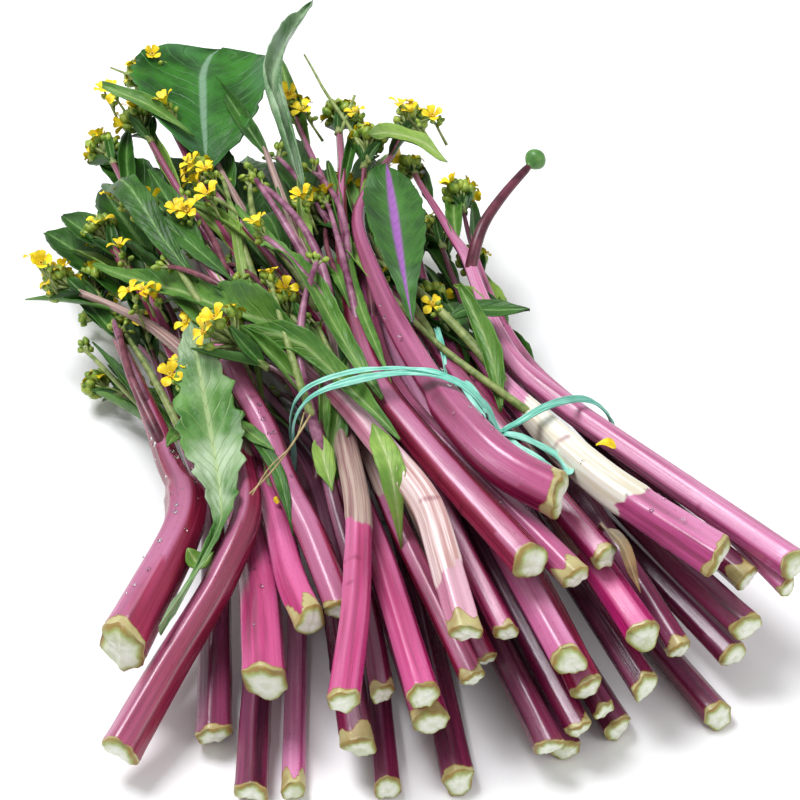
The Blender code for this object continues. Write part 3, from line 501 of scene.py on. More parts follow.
@dataclass
class LeafTrace:
    """The surface of a leaf, traced through its solid from its base to its tip.

    Args:
        node: the leaf's node.
        columns: how many places are read across the blade.
        step: how far apart its stations are.
        base_taper: over what length the blade widens from its base.
        tip_taper: over what length it narrows to its tip.
        centres: its middle line in plan.
        across: the direction across it at each station.
        half: its half width at each station.
        height: the heights of its upper face.
    """

    node: str
    columns: int = 17
    step: float = 2 * MM
    base_taper: float = 26 * MM
    tip_taper: float = 9 * MM
    centres: np.ndarray = field(init=False)
    across: np.ndarray = field(init=False)
    half: np.ndarray = field(init=False)
    height: np.ndarray = field(init=False)

    def __post_init__(self) -> None:
        """Trace the solid."""
        triangles = node_triangles(self.node)
        plan = np.unique(triangles.reshape(-1, 3)[:, :2].round(5), axis=0)
        gaps = np.linalg.norm(plan[:, None] - plan[None], axis=2)
        first, last = np.unravel_index(gaps.argmax(), gaps.shape)
        start, end = sorted((plan[first], plan[last]), key=lambda place: place[1])
        if self.node in FLIPPED_LEAVES:
            start, end = end, start
        way = unit(end - start)
        rows = []
        place = start + 0.8 * MM * way
        reach = 0.02
        while len(rows) < 200:
            found = self._station(triangles, place, way, reach)
            if found is None:
                break
            rows.append(found)
            centre, half = found[0], found[1]
            reach = 1.6 * half + 3 * MM
            if len(rows) > 3:
                way = unit(0.75 * way + 0.25 * unit(centre - rows[-4][0]))
            place = centre + self.step * way
        self.centres = smoothed(np.array([row[0] for row in rows]), 4)
        self.half = smoothed(np.array([row[1] for row in rows]), 3)
        self.across = smoothed(np.array([row[2] for row in rows]), 4)
        self.height = smoothed(np.array([row[3] for row in rows]), 3)

    def _station(self, triangles: np.ndarray, place: np.ndarray, way: np.ndarray, reach: float) -> tuple | None:
        """Read one upright section of the leaf.

        Args:
            triangles: the solid's triangles.
            place: a place of the section, in plan.
            way: the direction across which the leaf is cut, in plan.
            reach: how far from the place the section may be.

        Returns:
            Its middle, its half width, its sideways direction and its upper heights, or None where there is none.
        """
        origin = np.array([place[0], place[1], 0.0])
        pieces = section(triangles, origin, np.array([way[0], way[1], 0.0]))
        side = np.array([way[1], -way[0]])
        offset = (pieces[:, :, :2] - place) @ side
        keep = np.abs(offset.mean(1)) < reach
        offset, level = offset[keep], pieces[keep][:, :, 2]
        if len(offset) < 3 or np.ptp(offset) < 0.6 * MM:
            return None
        low, high = offset.min(), offset.max()
        spots = np.linspace(low + 0.02 * (high - low), high - 0.02 * (high - low), self.columns)
        tops = []
        for spot in spots:
            spanned = (offset.min(1) <= spot) & (offset.max(1) >= spot)
            a, b, za, zb = offset[spanned, 0], offset[spanned, 1], level[spanned, 0], level[spanned, 1]
            share = (spot - a) / np.where(np.abs(b - a) < 1e-9, 1.0, b - a)
            tops.append((za + np.clip(share, 0, 1) * (zb - za)).max() if len(a) else level.max())
        return place + 0.5 * (low + high) * side, 0.5 * (high - low), side, np.array(tops)

    def shape(self, columns: int) -> BladeShape:
        """The traced leaf's upper face.

        Args:
            columns: how many places across it are wanted.

        Returns:
            The shape.
        """
        length = float(runs_along(self.centres)[-1])
        count = max(24, round(length / (2.0 * MM)))
        old, new = np.linspace(0, 1, len(self.half)), np.linspace(0, 1, count)
        centres = np.stack([np.interp(new, old, self.centres[:, axis]) for axis in range(2)], 1)
        side = np.stack([np.interp(new, old, self.across[:, axis]) for axis in range(2)], 1)
        half = np.interp(new, old, self.half)
        inside = np.minimum(new * length / self.base_taper, (1 - new) * length / self.tip_taper)
        half = half * np.sqrt(np.clip(1 - (1 - np.clip(inside, 0.02, 1)) ** 2, 0, 1))
        rows = np.stack([np.interp(new, old, self.height[:, column]) for column in range(self.columns)], 1)
        places, spots = np.linspace(-1, 1, self.columns), np.linspace(-1, 1, columns)
        height = np.stack([np.interp(spots, places, row) for row in rows])
        plan = centres[:, None] + (half[:, None] * spots)[..., None] * side[:, None]
        return BladeShape(np.dstack([plan, height]), half, length)


class Terrain:
    """The height of the topmost stem at each place, for laying leaves over the bunch."""

    def __init__(self, traces: list[StemTrace], cell: float = 1.5 * MM) -> None:
        """Read the heights of the stems.

        Args:
            traces: the stems.
            cell: the size of one cell.
        """
        low, high = np.array(CAD_BOX[0]), np.array(CAD_BOX[1])
        self.cell, self.low = cell, low[:2]
        self.shape = tuple(int(count) + 2 for count in (high - low)[:2] / cell)
        self.top = np.zeros(self.shape)
        for trace in traces:
            rows = resampled(np.column_stack([trace.line, trace.radii]), round(trace.length / cell))
            for x, y, z, radius in rows:
                self._raise(x, y, z, radius)

    def _raise(self, x: float, y: float, z: float, radius: float) -> None:
        """Raise the field over a ball.

        Args:
            x: the ball's place.
            y: the same along the bunch.
            z: its height.
            radius: its radius.
        """
        reach = int(radius / self.cell) + 1
        column, row = ((np.array([x, y]) - self.low) / self.cell).astype(int)
        columns = np.clip(np.arange(column - reach, column + reach + 1), 0, self.shape[0] - 1)
        rows = np.clip(np.arange(row - reach, row + reach + 1), 0, self.shape[1] - 1)
        dx = self.low[0] + columns * self.cell - x
        dy = self.low[1] + rows * self.cell - y
        square = radius**2 - dx[:, None] ** 2 - dy[None, :] ** 2
        height = np.where(square > 0, z + np.sqrt(np.clip(square, 0, None)), 0)
        window = np.ix_(columns, rows)
        self.top[window] = np.maximum(self.top[window], height)

    def height(self, plan: np.ndarray) -> np.ndarray:
        """The height at places in plan."""
        cells = ((plan - self.low) / self.cell).astype(int)
        column = np.clip(cells[..., 0], 0, self.shape[0] - 1)
        return self.top[column, np.clip(cells[..., 1], 0, self.shape[1] - 1)]

    def lay(self, path: list[tuple], halves: list[float], columns: int, gap: float, floor: float) -> BladeShape:
        """Lay a leaf over the stems.

        Args:
            path: its midrib in plan, in millimetres.
            halves: its half widths from base to tip, in millimetres.
            columns: how many places across it are wanted.
            gap: its distance from what lies below.
            floor: the lowest that it may lie, in metres.

        Returns:
            The shape.
        """
        line = eased(np.array(path, float) * MM, 40, 14, 40)
        length = float(runs_along(line)[-1])
        count = max(10, round(length / (3.0 * MM)))
        line = resampled(np.column_stack([line, np.zeros(40)]), count)[:, :2]
        along = headings(line)
        side = np.stack([along[:, 1], -along[:, 0]], 1)
        share = np.linspace(0, 1, count)
        half = np.interp(share, np.linspace(0, 1, len(halves)), halves) * MM
        half = half * np.clip(np.minimum(share / 0.3, (1 - share) / 0.2), 0.04, 1) ** 0.6
        spots = np.linspace(-1, 1, columns)
        plan = line[:, None] + (half[:, None] * spots)[..., None] * side[:, None]
        need = np.maximum(self.height(plan) + gap, floor)
        level = need.copy()
        for _ in range(40):
            level[1:-1] = 0.5 * level[1:-1] + 0.25 * (level[:-2] + level[2:])
            level += 0.3 * (level.mean(1, keepdims=True) - level)
            level = np.maximum(level, need)
        return BladeShape(np.dstack([plan, level]), half, length)


def free_leaf(base: np.ndarray, way: np.ndarray, side: np.ndarray, length: float, half: float, droop: float,
              columns: int, bend: float = 0.0, twist: float = 0.0) -> BladeShape:
    """A leaf that stands free in the air from its base.

    Args:
        base: where it starts.
        way: the direction in which it starts.
        side: a direction across the blade.
        length: its length.
        half: its greatest half width.
        droop: how far it bends down by its tip, as a share of its length.
        columns: how many places across it are wanted.
        bend: how far it bends sideways by its tip, as a share of its length.
        twist: how far it turns about its midrib by its tip, in radians.

    Returns:
        The shape.
    """
    count = max(9, round(length / (3.5 * MM)))
    share = np.linspace(0, 1, count)
    side = unit(side - (side @ way) * way)
    over = np.cross(side, way)
    over *= np.sign(over[2]) or 1.0
    line = base + np.outer(share * length, way) - np.outer(droop * length * share**2, (0.0, 0.0, 1.0))
    line = line + np.outer(bend * length * share**2, side)
    widths = half * np.clip(np.sin(math.pi * np.clip(share, 0.0, 1) ** 0.8) ** 0.8, 0.07, 1)
    turn = twist * share
    across = np.outer(np.cos(turn), side) + np.outer(np.sin(turn), over)
    lift = np.outer(np.cos(turn), over) - np.outer(np.sin(turn), side)
    spots = np.linspace(-1, 1, columns)
    surface = line[:, None] + (widths[:, None] * spots)[..., None] * across[:, None]
    surface = surface + (0.4 * widths[:, None] * spots**2)[..., None] * lift[:, None]
    surface[:, :, 2] = np.maximum(surface[:, :, 2], 0.8 * MM)
    return BladeShape(surface, widths, length)


def absorb(bm: bmesh.types.BMesh, part: bmesh.types.BMesh, material: int) -> None:
    """Add a small finished part to a larger mesh.

    Args:
        bm: the larger mesh.
        part: the small one, which is freed.
        material: the part's place among the finishes.
    """
    for face in part.faces:
        face.material_index = material
    mesh = bpy.data.meshes.new("part")
    part.to_mesh(mesh)
    part.free()
    bm.from_mesh(mesh)
    bpy.data.meshes.remove(mesh)


def add_swept(bm: bmesh.types.BMesh, path: np.ndarray, sizes: np.ndarray, sides: int, material: int) -> None:
    """Sweep a circle along a path.

    Args:
        bm: the mesh that the tube is added to.
        path: its middle line.
        sizes: its radius at each place.
        sides: how many sides it has.
        material: its place among the finishes.
    """
    part, last = bmesh.new(), None
    for place, size, way in zip(path, sizes, headings(path)):
        side = unit(np.cross(way, (0.02, 0.01, 1.0)))
        last = next_ring(part, last, ring_places(place, size, side, np.cross(side, way), sides), True)[0]
    part.faces.new(last)
    bmesh.ops.recalc_face_normals(part, faces=part.faces)
    absorb(bm, part, material)


class Sheet:
    """A material that is being made: its nodes, its links and its shader."""

    def __init__(self, name: str) -> None:
        """Start an empty material.

        Args:
            name: the material's name.
        """
        self.material = bpy.data.materials.new(name)
        self.material.use_nodes = True
        self.tree = self.material.node_tree
        self.shader = self.tree.nodes["Principled BSDF"]

    def node(self, kind: str, values: dict | None = None, **settings) -> bpy.types.Node:
        """Add a node.

        Args:
            kind: the node's type without its ShaderNode prefix.
            values: what its sockets hold or are linked to, by name or place.
            **settings: the node's own properties.

        Returns:
            The new node.
        """
        made = self.tree.nodes.new(f"ShaderNode{kind}")
        for name, value in settings.items():
            setattr(made, name, value)
        for name, value in (values or {}).items():
            self.feed(made.inputs[name], value)
        return made

    def feed(self, socket: bpy.types.NodeSocket, value) -> None:
        """Link a socket to another, or set its value."""
        if isinstance(value, bpy.types.NodeSocket):
            self.tree.links.new(value, socket)
        else:
            socket.default_value = value

    def maths(self, operation: str, first, second=0.0, third=0.0) -> bpy.types.NodeSocket:
        """One arithmetic step."""
        return self.node("Math", {0: first, 1: second, 2: third}, operation=operation).outputs[0]

    def noise(self, vector, scale: float, detail: float = 3.0, rough: float = 0.55) -> bpy.types.NodeSocket:
        """A noise pattern's strength."""
        values = {"Vector": vector, "Scale": scale, "Detail": detail, "Roughness": rough}
        return self.node("TexNoise", values).outputs[0]

    def ramp(self, factor, stops: list[tuple[float, tuple]]) -> bpy.types.NodeSocket:
        """A colour that changes with a factor.

        Args:
            factor: the socket that drives it.
            stops: places and colours.

        Returns:
            The colour's socket.
        """
        made = self.node("ValToRGB", {0: factor})
        elements = made.color_ramp.elements
        while len(elements) < len(stops):
            elements.new(0.5)
        for element, (place, colour) in zip(elements, stops):
            element.position = place
            element.color = (*colour[:3], 1.0)
        return made.outputs[0]

    def level(self, factor, low: float, high: float) -> bpy.types.NodeSocket:
        """A factor that rises smoothly from 0 to 1 between two values."""
        values = {0: factor, 1: low, 2: high, 3: 0.0, 4: 1.0}
        return self.node("MapRange", values, interpolation_type="SMOOTHSTEP").outputs[0]

    def blend(self, factor, first, second) -> bpy.types.NodeSocket:
        """Mix two colours.

        Args:
            factor: how much of the second there is.
            first: the first colour.
            second: the second colour.

        Returns:
            The mixed colour.
        """
        made = self.node("Mix", data_type="RGBA")
        self.feed(made.inputs[0], factor)
        for socket, value in ((made.inputs[6], first), (made.inputs[7], second)):
            self.feed(socket, (*value[:3], 1.0) if isinstance(value, tuple) else value)
        return made.outputs[2]

    def tint(self, colour, mask, strength, new: Colour) -> bpy.types.NodeSocket:
        """A colour that is mixed with a new one under a mask, up to a strength."""
        return self.blend(self.maths("MULTIPLY", mask, strength), colour, new)

    def inverse(self, mask) -> bpy.types.NodeSocket:
        """One minus a mask."""
        return self.maths("SUBTRACT", 1.0, mask)

    def frayed(self, name: str, pattern, depth: float) -> bpy.types.NodeSocket:
        """A number that the mesh carries, with a pattern in its border."""
        return self.maths("MULTIPLY_ADD", pattern, depth, self.maths("ADD", self.attribute(name), -0.5 * depth))

    def mapped(self, vector, scale: tuple[float, float, float]) -> bpy.types.NodeSocket:
        """A vector stretched along its axes."""
        return self.node("Mapping", {"Vector": vector, "Scale": scale}).outputs[0]

    def bump(self, height, distance: float, strength: float = 1.0) -> None:
        """Raise the surface by a pattern."""
        values = {"Height": height, "Distance": distance, "Strength": strength}
        self.feed(self.shader.inputs["Normal"], self.node("Bump", values).outputs[0])

    def attribute(self, name: str) -> bpy.types.NodeSocket:
        """A number that the mesh carries."""
        return self.node("Attribute", attribute_name=name).outputs["Fac"]

    def uv(self) -> bpy.types.NodeSocket:
        """The mesh's own pattern coordinates."""
        return self.node("UVMap", uv_map="rind").outputs[0]

    def place(self) -> bpy.types.NodeSocket:
        """The object's coordinates."""
        return self.node("TexCoord").outputs["Object"]

    def finish(self, colour, roughness, gloss: float = 0.5, coat: float = 0.0) -> bpy.types.Material:
        """Set the shader.

        Args:
            colour: the base colour.
            roughness: the roughness.
            gloss: the strength of the reflections.
            coat: how much of a thin clear layer lies on top.

        Returns:
            The material.
        """
        self.feed(self.shader.inputs["Base Color"], colour)
        self.feed(self.shader.inputs["Roughness"], roughness)
        self.shader.inputs["Specular IOR Level"].default_value = gloss
        self.shader.inputs["Coat Weight"].default_value = coat
        self.shader.inputs["Coat Roughness"].default_value = COAT_ROUGHNESS
        return self.material


@dataclass(frozen=True)
class StemFinish:
    """The skin of a stem: lengthwise streaks under a waxy gloss, a painted reflection of the sky on the facets that
    face up, brighter near the cut, peeled back at the end.
    """

    name: str
    deep: Colour
    middle: Colour
    light: Colour
    hot: Colour
    painted_sheen: Colour
    sheath: Colour = (0.26, 0.13, 0.13)
    sheath_light: Colour = (0.48, 0.36, 0.30)
    tip: Colour = (0.13, 0.05, 0.045)
    flesh: Colour = (0.50, 0.45, 0.20)
    torn: Colour = (0.30, 0.19, 0.05)
    roughness: float = 0.26

    def make(self) -> bpy.types.Material:
        """Build the material."""
        sheet = Sheet(self.name)
        rind = sheet.uv()
        run = sheet.node("SeparateXYZ", {0: rind}).outputs[1]
        streaks = sheet.noise(sheet.mapped(rind, (22.0, 1.6, 1.0)), 1.0, 4.0, 0.6)
        broad = sheet.noise(sheet.mapped(rind, (4.0, 0.9, 1.0)), 1.0, 2.0, 0.5)
        fine = sheet.noise(sheet.mapped(rind, (90.0, 9.0, 1.0)), 1.0, 3.0, 0.6)
        specks = sheet.noise(sheet.place(), 900.0, 2.0, 0.5)
        mixed = sheet.maths("MULTIPLY_ADD", streaks, 0.45, sheet.maths("MULTIPLY", broad, 0.55))
        colour = sheet.ramp(mixed, [(0.38, self.deep), (0.5, self.middle), (0.66, self.light)])
        young = sheet.maths("MULTIPLY", sheet.inverse(sheet.level(run, 0.03, 0.6)), sheet.level(mixed, 0.34, 0.62))
        colour = sheet.tint(colour, young, 0.8, self.hot)
        # The facet edges are tinted towards the light tone: partly waxy bloom on the ridges, partly a painted
        # highlight along them.
        colour = sheet.tint(colour, sheet.attribute("ridge"), 0.16, self.light)
        # Facets that face the sky light are tinted lilac: a painted reflection of the sky, made patchy by a broad
        # noise.
        sheen_strength = sheet.maths("MULTIPLY_ADD", sheet.level(broad, 0.3, 0.6), 0.42, 0.1)
        colour = sheet.tint(colour, sheet.attribute("painted_sheen"), sheen_strength, self.painted_sheen)
        colour = sheet.tint(colour, sheet.level(specks, 0.62, 0.75), 0.4, self.deep)
        colour = sheet.blend(sheet.level(sheet.frayed("pale", streaks, 0.7), 0.2, 0.8), colour, self.tip)
        husk = sheet.blend(sheet.level(streaks, 0.38, 0.62), self.sheath, self.sheath_light)
        colour = sheet.blend(sheet.level(sheet.frayed("sheath", streaks, 0.6), 0.3, 0.6), colour, husk)
        colour = sheet.tint(colour, sheet.level(sheet.attribute("scar"), 0.45, 0.95), 0.55, self.deep)
        ragged = sheet.noise(sheet.place(), 260.0, 3.0, 0.65)
        bare = sheet.frayed("flesh", ragged, 0.8)
        colour = sheet.blend(sheet.level(bare, 0.28, 0.42), colour, self.torn)
        stained = sheet.blend(sheet.level(sheet.noise(sheet.place(), 90.0), 0.4, 0.62), self.flesh, self.torn)
        colour = sheet.blend(sheet.level(bare, 0.52, 0.72), colour, sheet.blend(0.5, stained, self.flesh))
        grain = sheet.maths("MULTIPLY_ADD", fine, 0.5, streaks)
        sheet.bump(sheet.maths("MULTIPLY_ADD", ragged, sheet.level(bare, 0.3, 0.5), grain), 0.25 * MM, 0.6)
        rough = sheet.maths("MULTIPLY_ADD", streaks, 0.25, self.roughness - 0.12)
        rough = sheet.maths("MULTIPLY_ADD", sheet.level(bare, 0.3, 0.5), 0.2, rough)
        return sheet.finish(colour, rough, gloss=0.5, coat=0.32)


@dataclass(frozen=True)
class CutFinish:
    """A cut end: moist pale pith inside an olive ring and a torn, browning edge."""

    name: str = "cut_end"
    pith: Colour = (0.68, 0.72, 0.53)
    milky: Colour = (0.82, 0.84, 0.74)
    ring: Colour = (0.36, 0.42, 0.13)
    rim: Colour = (0.30, 0.20, 0.05)

    def make(self) -> bpy.types.Material:
        """Build the material."""
        sheet = Sheet(self.name)
        spots = sheet.noise(sheet.place(), 420.0, 4.0, 0.65)
        clouds = sheet.noise(sheet.place(), 110.0, 3.0, 0.6)
        stops = [(0.0, self.pith), (0.35, self.milky), (0.66, self.pith), (0.82, self.ring), (0.93, self.rim)]
        colour = sheet.ramp(sheet.frayed("ring", clouds, 0.5), stops)
        colour = sheet.tint(colour, sheet.level(sheet.noise(sheet.place(), 75.0, 2.0), 0.52, 0.68), 0.4, self.ring)
        colour = sheet.tint(colour, sheet.level(spots, 0.58, 0.78), 0.4, self.rim)
        sheet.bump(sheet.maths("MULTIPLY_ADD", spots, 0.6, clouds), 0.9 * MM, 0.8)
        return sheet.finish(colour, 0.34, gloss=0.5)


@dataclass(frozen=True)
class LeafFinish:
    """A leaf blade with a midrib, side veins, a painted sheen beside the midrib and a satin surface."""

    name: str
    blade: Colour
    shade: Colour
    vein: Colour
    rib: Colour
    bloom: Colour = (0.25, 0.38, 0.34)
    vein_count: float = 9.0
    vein_strength: float = 0.45
    bloom_strength: float = 0.3
    rib_width: float = 0.07

    def make(self) -> bpy.types.Material:
        """Build the material."""
        sheet = Sheet(self.name)
        parts = sheet.node("SeparateXYZ", {0: sheet.uv()})
        across, along = parts.outputs[0], parts.outputs[1]
        side = sheet.maths("ABSOLUTE", across)
        wander = sheet.noise(sheet.place(), 55.0, 2.0)
        wander = sheet.maths("MULTIPLY", wander, 1.1)
        slope = sheet.maths("MULTIPLY_ADD", sheet.maths("POWER", side, 0.8), -2.6, wander)
        phase = sheet.maths("MULTIPLY_ADD", along, self.vein_count, slope)
        wave = sheet.maths("ABSOLUTE", sheet.maths("ADD", sheet.maths("FRACT", phase), -0.5))
        veins = sheet.level(wave, 0.40, 0.5)
        rib = sheet.inverse(sheet.level(side, 0.5 * self.rib_width, 1.5 * self.rib_width))
        clouds = sheet.noise(sheet.place(), 70.0, 4.0, 0.6)
        cells = sheet.node("TexVoronoi", {"Vector": sheet.place(), "Scale": 620.0}).outputs["Distance"]
        colour = sheet.blend(sheet.level(clouds, 0.3, 0.7), self.shade, self.blade)
        bloom = sheet.level(sheet.noise(sheet.place(), 26.0, 3.0), 0.5, 0.72)
        colour = sheet.tint(colour, bloom, self.bloom_strength, self.bloom)
        colour = sheet.tint(colour, veins, self.vein_strength, self.vein)
        # A paler band on each side of the midrib: a painted sheen along the rib.
        near = sheet.inverse(sheet.level(side, self.rib_width, 5.0 * self.rib_width))
        colour = sheet.tint(colour, near, 0.3, self.vein)
        colour = sheet.tint(colour, rib, 0.85, self.rib)
        height = sheet.maths("MULTIPLY_ADD", veins, -0.7, sheet.maths("MULTIPLY", cells, 0.25))
        sheet.bump(sheet.maths("MULTIPLY_ADD", clouds, 0.8, height), 0.6 * MM, 0.6)
        rough = sheet.maths("MULTIPLY_ADD", clouds, 0.25, 0.34)
        return sheet.finish(colour, rough, gloss=0.32)


@dataclass(frozen=True)
class PlainFinish:
    """A small part with one colour that varies a little from place to place."""

    name: str
    dark: Colour
    light: Colour
    scale: float = 240.0
    roughness: float = 0.45
    bump: float = 0.15

    def make(self) -> bpy.types.Material:
        """Build the material."""
        sheet = Sheet(self.name)
        clouds = sheet.noise(sheet.place(), self.scale, 3.0, 0.6)
        colour = sheet.ramp(clouds, [(0.34, self.dark), (0.62, self.light)])
        sheet.bump(clouds, self.bump * MM, 0.5)
        return sheet.finish(colour, self.roughness, gloss=0.4)


@dataclass(frozen=True)
class TieFinish:
    """Thin turquoise plastic strap with lengthwise creases."""

    name: str = "tie_plastic"
    colour: Colour = (0.09, 0.48, 0.36)
    light: Colour = (0.38, 0.78, 0.64)

    def make(self) -> bpy.types.Material:
        """Build the material."""
        sheet = Sheet(self.name)
        creases = sheet.noise(sheet.mapped(sheet.uv(), (3.2, 9.0, 1.0)), 1.0, 3.0, 0.6)
        clouds = sheet.noise(sheet.place(), 90.0, 2.0)
        colour = sheet.ramp(sheet.maths("MULTIPLY_ADD", creases, 0.6, sheet.maths("MULTIPLY", clouds, 0.4)),
                            [(0.35, self.colour), (0.62, self.light)])
        sheet.bump(creases, 0.3 * MM, 0.6)
        return sheet.finish(colour, 0.36, gloss=0.5)


TONE_FINISHES: dict[StemTone, StemFinish] = {
    StemTone.HOT_PINK: StemFinish(
        "stem_hot_pink", deep=(0.20, 0.006, 0.05), middle=(0.42, 0.012, 0.12), light=(0.60, 0.11, 0.30),
        hot=(0.60, 0.012, 0.20), painted_sheen=(0.72, 0.24, 0.44)),
    StemTone.MAGENTA: StemFinish(
        "stem_magenta", deep=(0.075, 0.003, 0.014), middle=(0.20, 0.007, 0.045), light=(0.38, 0.05, 0.14),
        hot=(0.42, 0.010, 0.13), painted_sheen=(0.56, 0.20, 0.38)),
    StemTone.MAUVE: StemFinish(
        "stem_mauve", deep=(0.095, 0.003, 0.014), middle=(0.23, 0.007, 0.035), light=(0.40, 0.06, 0.15),
        hot=(0.34, 0.010, 0.07), painted_sheen=(0.56, 0.24, 0.42)),
    StemTone.ROSE: StemFinish(
        "stem_rose", deep=(0.24, 0.02, 0.09), middle=(0.44, 0.06, 0.20), light=(0.66, 0.27, 0.44),
        hot=(0.56, 0.05, 0.27), painted_sheen=(0.76, 0.42, 0.60), sheath=(0.66, 0.60, 0.46), sheath_light=(0.85, 0.83, 0.74)),
    StemTone.PALE: StemFinish(
        "stem_pale", deep=(0.24, 0.04, 0.08), middle=(0.50, 0.16, 0.26), light=(0.72, 0.46, 0.52),
        hot=(0.60, 0.12, 0.30), painted_sheen=(0.84, 0.72, 0.74), sheath=(0.50, 0.28, 0.26), sheath_light=(0.84, 0.70, 0.68)),
    StemTone.DARK: StemFinish(
        "stem_dark", deep=(0.022, 0.002, 0.008), middle=(0.06, 0.004, 0.017), light=(0.17, 0.02, 0.06),
        hot=(0.22, 0.008, 0.06), painted_sheen=(0.26, 0.09, 0.17)),
}
KIND_FINISHES: dict[LeafKind, LeafFinish] = {
    LeafKind.BROAD: LeafFinish(
        "leaf_broad", blade=(0.036, 0.135, 0.010), shade=(0.009, 0.045, 0.004), vein=(0.07, 0.19, 0.03),
        rib=(0.15, 0.29, 0.08), vein_strength=0.4, bloom=(0.10, 0.22, 0.06), bloom_strength=0.3),
    LeafKind.ROLLED: LeafFinish(
        "leaf_rolled", blade=(0.30, 0.43, 0.26), shade=(0.05, 0.16, 0.04), vein=(0.36, 0.48, 0.32),
        rib=(0.36, 0.50, 0.28), bloom=(0.40, 0.48, 0.40), bloom_strength=0.7),
    LeafKind.VIOLET_RIB: LeafFinish(
        "leaf_violet_rib", blade=(0.040, 0.15, 0.016), shade=(0.010, 0.055, 0.006), vein=(0.10, 0.25, 0.06),
        rib=(0.36, 0.11, 0.46), rib_width=0.14, bloom=(0.22, 0.36, 0.22), bloom_strength=0.4),
    LeafKind.NARROW: LeafFinish(
        "leaf_narrow", blade=(0.11, 0.25, 0.035), shade=(0.03, 0.12, 0.010), vein=(0.20, 0.35, 0.08),
        rib=(0.26, 0.38, 0.13), vein_count=7.0, vein_strength=0.35, rib_width=0.09, bloom=(0.22, 0.36, 0.14),
        bloom_strength=0.4),
    LeafKind.MOTTLED: LeafFinish(
        "leaf_mottled", blade=(0.12, 0.28, 0.06), shade=(0.03, 0.12, 0.015), vein=(0.30, 0.44, 0.18),
        rib=(0.34, 0.46, 0.20), bloom=(0.45, 0.56, 0.38), bloom_strength=0.8),
    LeafKind.FRESH: LeafFinish(
        "leaf_fresh", blade=(0.26, 0.42, 0.07), shade=(0.11, 0.24, 0.03), vein=(0.40, 0.52, 0.18),
        rib=(0.42, 0.52, 0.22), rib_width=0.08, bloom=(0.42, 0.52, 0.22), bloom_strength=0.4),
    # The glossy leaf's pale blue-green rib is partly the midrib's own colour and partly a painted sheen along it.
    LeafKind.GLOSSY: LeafFinish(
        "leaf_glossy", blade=(0.028, 0.17, 0.008), shade=(0.006, 0.05, 0.003), vein=(0.06, 0.20, 0.05),
        rib=(0.20, 0.34, 0.22), rib_width=0.05, vein_strength=0.55, bloom=(0.10, 0.23, 0.12), bloom_strength=0.45),
    LeafKind.DRY: LeafFinish(
        "leaf_dry", blade=(0.36, 0.22, 0.10), shade=(0.15, 0.07, 0.03), vein=(0.50, 0.36, 0.18),
        rib=(0.42, 0.32, 0.18)),
}
BUD = PlainFinish("flower_bud", (0.09, 0.20, 0.02), (0.36, 0.46, 0.06), 320.0, 0.38)
PETAL = PlainFinish("petal", (0.68, 0.44, 0.004), (0.94, 0.76, 0.02), 260.0, 0.5, 0.1)
STAMEN = PlainFinish("stamen", (0.62, 0.36, 0.02), (0.80, 0.62, 0.08), 500.0, 0.6)
PEDICEL = PlainFinish("flower_stalk", (0.12, 0.19, 0.04), (0.30, 0.36, 0.12), 260.0, 0.5)
STRAW = PlainFinish("straw", (0.26, 0.18, 0.07), (0.52, 0.42, 0.20), 300.0, 0.6)
SHOOT = PlainFinish("maroon_shoot", (0.05, 0.008, 0.018), (0.20, 0.06, 0.08), 150.0, 0.36, 0.3)
LILAC_SHOOT = PlainFinish("lilac_shoot", (0.12, 0.02, 0.06), (0.36, 0.16, 0.24), 130.0, 0.38, 0.3)
TWIG = PlainFinish("twig", (0.05, 0.008, 0.016), (0.14, 0.03, 0.05), 120.0, 0.35)
BALL = PlainFinish("round_bud", (0.05, 0.16, 0.03), (0.13, 0.30, 0.07), 160.0, 0.35)
FLOOR = PlainFinish("pale_floor", (0.92, 0.92, 0.92), (0.94, 0.94, 0.94), 3.0, 0.9, 0.0)


